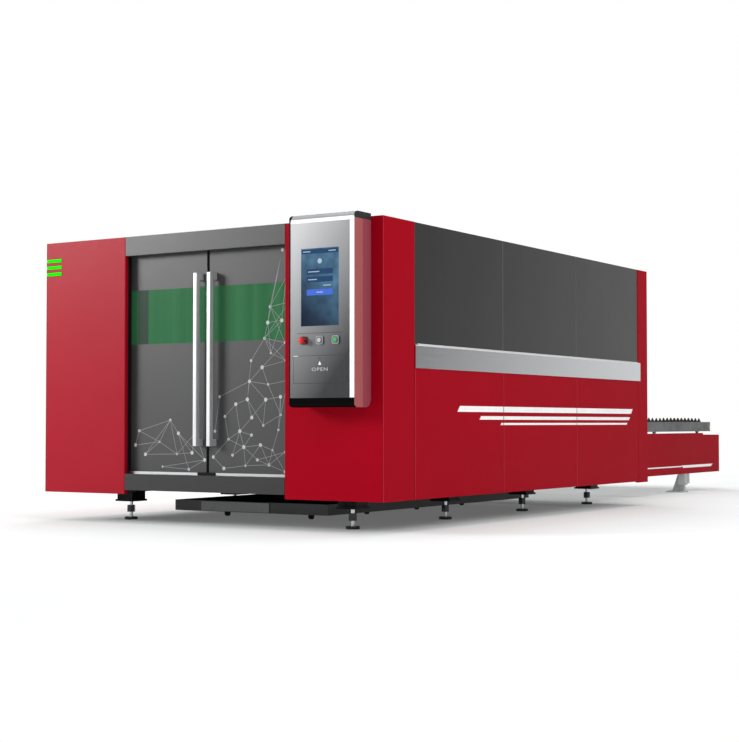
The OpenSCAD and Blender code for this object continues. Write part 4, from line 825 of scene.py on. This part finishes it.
# Warning tape and axle caps on the pallets
TAPE_H, TAPE_WRAP, TAPE_FILM = 73, 22, 0.4
CAP_R, CAP_RISE = 14, 3
caps = screw_tree(wheel_steel)
for level in ("upper", "lower"):
    low, high = extent(f"{level}_pallet_frame")
    bm = bmesh.new()
    prism(bm, rect(low.x + MARGIN, high.x - MARGIN, low.z + MARGIN, low.z + TAPE_H),
          high.y, high.y + TAPE_FILM, on_front)
    for place in (on_right, on_left):
        prism(bm, rect(high.y - TAPE_WRAP, high.y, low.z + MARGIN, low.z + TAPE_H),
              high.x, high.x + TAPE_FILM, place)
    new_piece(f"{level}_pallet_tape", mesh_from(bm, f"{level}_tape"), f"{level}_pallet", "grey_plastic", tape)
    wheels = [extent(f"{level}_wheels_{i}") for i in (1, 2, 3)]
    axles = [(a.y + b.y) / 2 for a, b in wheels]
    axle_z = (wheels[0][0].z + wheels[0][1].z) / 2
    rows = []
    for side in (-1, 1):
        mesh = grown("caps", caps, Count=len(axles), Pitch=(axles[1] - axles[0]) * MM, Radius=CAP_R * MM,
                     Rise=CAP_RISE * MM)
        mesh.transform(Matrix.Translation((side * high.x * MM, axles[0] * MM + FRONT, axle_z * MM))
                       @ Matrix.Rotation(side * math.pi / 2, 4, "Y"))
        rows.append(mesh)
    cap_mesh = one_mesh(f"{level}_axle_caps", rows)
    new_piece(f"{level}_axle_caps", cap_mesh, f"{level}_pallet", "bright_steel", wheel_steel)

# Plain screen layout: title bar, two fields, a button, a round sign and lines for words, in mm from the
# screen's lower left corner
SCREEN_FILM, WORD_FILM, WORD_HALF = 0.3, 0.2, 3
FIELD_X0, FIELD_X1, FIELD_H, FIELD_R = 46, 255, 36, 6
TITLE_BAR = rect(6, 296, 482, 511)
FIELDS = [rounded(FIELD_X0, FIELD_X1, z, z + FIELD_H, FIELD_R) for z in (344, 292)]
ENTER_BUTTON = rounded(FIELD_X0, FIELD_X1, 204, 244, 8)
ROUND_SIGN = rounded(134, 168, 414, 448, 16)
# Start, middle height and length of each line
WORDS = ((16, 496, 60), (222, 496, 56), (58, 361, 90), (58, 309, 70), (180, 268, 60), (126, 224, 50))
screen_low = extent("console_screen")[0]
glass = screen_low.y


def on_screen(u, v, d):
    """Across the screen: u to the right and v up from its lower left corner, d as on the front."""
    return on_front(screen_low.x + u, screen_low.z + v, d)


bm = bmesh.new()
BLUE_PART, BUTTON_PART, WHITE_PART = range(3)
for outline in (TITLE_BAR, *FIELDS):
    prism(bm, outline, glass - SCREEN_FILM, glass, on_screen, BLUE_PART)
prism(bm, ENTER_BUTTON, glass - SCREEN_FILM, glass, on_screen, BUTTON_PART)
for u, v, length in WORDS:
    prism(bm, rect(u, u + length, v - WORD_HALF, v + WORD_HALF), glass - SCREEN_FILM - WORD_FILM,
          glass - SCREEN_FILM, on_screen, WHITE_PART)
prism(bm, ROUND_SIGN, glass - SCREEN_FILM, glass, on_screen, WHITE_PART)
new_piece("screen_layout", mesh_from(bm, "screen_layout"), "machine", "screen_glass", panel_blue, button_blue,
          lit_white)

# Line above the buttons, in mm from the console's lower left corner, and the light rims of two collars
LINE_X0, LINE_X1, LINE_Z, LINE_H, LINE_FILM = 78, 439, 490.5, 3, 0.2
COLLAR_R, RIM_W, RIM_FILM, INSET = 12, 2.5, 0.3, 0.1
line_z = bezel_low.z + LINE_Z
collar_low, collar_high = extent("button_collars")
collar_w = collar_high.z - collar_low.z
bm = bmesh.new()
prism(bm, rect(bezel_low.x + LINE_X0, bezel_low.x + LINE_X1, line_z, line_z + LINE_H),
      face_low.y - LINE_FILM, face_low.y, on_front, 0)
for low, high in (extent("pause_button"), extent("start_button")):
    x0 = (low.x + high.x - collar_w) / 2
    rim = [rounded(x0 + d, x0 + collar_w - d, collar_low.z + d, collar_high.z - d, COLLAR_R - d)
           for d in (INSET, RIM_W)]
    ring(bm, *rim, collar_low.y - RIM_FILM, collar_low.y, on_front, 1)
new_piece("console_line", mesh_from(bm, "console_line"), "machine", "black_plastic", black_abs, light_vinyl)


def lettering(name, words, height, centre, y, body, material):
    """Flat letters of a plain sans, cut from film."""
    depth, widen, spacing, size_for_height = 0.15 * MM, 1.45, 1.15, 1.4
    curve = bpy.data.curves.new(name, "FONT")
    curve.body = words
    curve.size = height * size_for_height
    curve.align_x, curve.align_y = "CENTER", "CENTER"
    curve.space_character = spacing
    curve.extrude = depth
    curve.resolution_u = 3
    carrier = bpy.data.objects.new(name, curve)
    bpy.context.scene.collection.objects.link(carrier)
    mesh = bpy.data.meshes.new_from_object(carrier.evaluated_get(bpy.context.evaluated_depsgraph_get()))
    bpy.data.objects.remove(carrier)
    mesh.materials.clear()
    mesh.transform(Matrix.Translation((centre[0], y - depth, centre[1])) @ Matrix.Diagonal((widen, 1, 1, 1))
                   @ Matrix.Rotation(math.pi / 2, 4, "X"))
    return new_piece(name, mesh, body, "grey_plastic", material)


# Keyboard flap: word, arrow, light mark at the corner, a dark line painted round its edge as the shade of its
# gap, catch and the keys behind it, with heights in mm from the flap's lower edge
OPEN_Z, OPEN_H = 91.5, 23
ARROW_Z, ARROW_H, ARROW_HALF = 122, 24, 12
MARK_L, MARK_H, MARK_FILM = 37, 3, 0.3
GAP_SHADE_W, GAP_SHADE_FILM = 2, 0.2
CATCH_Z, CATCH_R, CATCH_ROUND, CATCH_PROUD = 166, 5, 4.9, 1.5
flap_low, flap_high = extent("keyboard_flap")
middle = (flap_low.x + flap_high.x) / 2
lettering("open_word", "OPEN", OPEN_H * MM, (middle * MM, (flap_low.z + OPEN_Z) * MM),
          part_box("keyboard_flap")[0][1], "flap", light_vinyl)
arrow_z, catch_z = flap_low.z + ARROW_Z, flap_low.z + CATCH_Z
arrow = [(middle - ARROW_HALF, arrow_z), (middle + ARROW_HALF, arrow_z), (middle, arrow_z + ARROW_H)]
mark = rect(flap_low.x, flap_low.x + MARK_L, flap_high.z - MARK_H, flap_high.z)
# Dark line painted round the flap's edge as the shade of the gap around it
edge = [rect(flap_low.x + d, flap_high.x - d, flap_low.z + d, flap_high.z - d) for d in (INSET, GAP_SHADE_W)]
catch = rounded(middle - CATCH_R, middle + CATCH_R, catch_z - CATCH_R, catch_z + CATCH_R, CATCH_ROUND)
bm = bmesh.new()
for outline in (arrow, mark):
    prism(bm, outline, flap_low.y - MARK_FILM, flap_low.y, on_front, 0)
ring(bm, *edge, flap_low.y - GAP_SHADE_FILM, flap_low.y, on_front, 1)
prism(bm, catch, flap_low.y - CATCH_PROUD, flap_low.y, on_front, 1)
new_piece("flap_marks", mesh_from(bm, "flap_marks"), "flap", "grey_plastic", white_vinyl, black_abs)

KEY_COLUMNS, KEY_ROWS, KEYS_W, KEYS_H, KEY_W, KEY_RISE = 15, 6, 342, 115, 19, 4
board_low, board_high = (Vector(corner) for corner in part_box("keyboard"))
board = (board_low + board_high) / 2
key_mesh = grown("keys", key_tree(), Columns=KEY_COLUMNS, Rows=KEY_ROWS, Width=KEYS_W * MM,
                 Height=KEYS_H * MM, Cap=KEY_W * MM, Rise=KEY_RISE * MM)
key_mesh.transform(Matrix.Translation((board.x, board_high.y, board.z)))
new_piece("keyboard_keys", key_mesh, "flap", "grey_plastic")

# Toothed racks and rail screws inside
RACK_W, TOOTH_H, TOOTH_PITCH = 25 * MM, 4.5 * MM, 12.57 * MM
rack_low, rack_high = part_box("gear_racks")
rack_l = rack_high[1] - rack_low[1]
teeth = round(rack_l / TOOTH_PITCH)
rack = rack_tree()
racks = []
for x in (rack_low[0] + RACK_W / 2, rack_high[0] - RACK_W / 2):
    mesh = grown("rack", rack, Teeth=teeth, Pitch=rack_l / teeth, Width=RACK_W, Body=RACK_W - TOOTH_H,
                 Tooth=TOOTH_H)
    mesh.transform(Matrix.Translation((x, (rack_low[1] + rack_high[1]) / 2, rack_low[2])))
    racks.append(mesh)
rack_piece = new_piece("toothed_racks", one_mesh("racks", racks), "machine", "bright_steel", ground_steel)
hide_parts("gear_racks")

RAIL_HALF, SCREW_PITCH, SCREW_FIRST, SCREW_R, SCREW_RISE = 17 * MM, 80 * MM, 65 * MM, 7 * MM, 0.2 * MM
SCREWS = 50
rail_low, rail_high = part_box("gantry_rails")
screws = screw_tree(bed_black)
rails = []
for x in (rail_low[0] + RAIL_HALF, rail_high[0] - RAIL_HALF):
    mesh = grown("screws", screws, Count=SCREWS, Pitch=SCREW_PITCH, Radius=SCREW_R, Rise=SCREW_RISE)
    mesh.transform(Matrix.Translation((x, rail_low[1] + SCREW_FIRST, rail_high[2])))
    rails.append(mesh)
new_piece("rail_screws", one_mesh("rail_screws", rails), "machine", "bright_steel", bed_black)
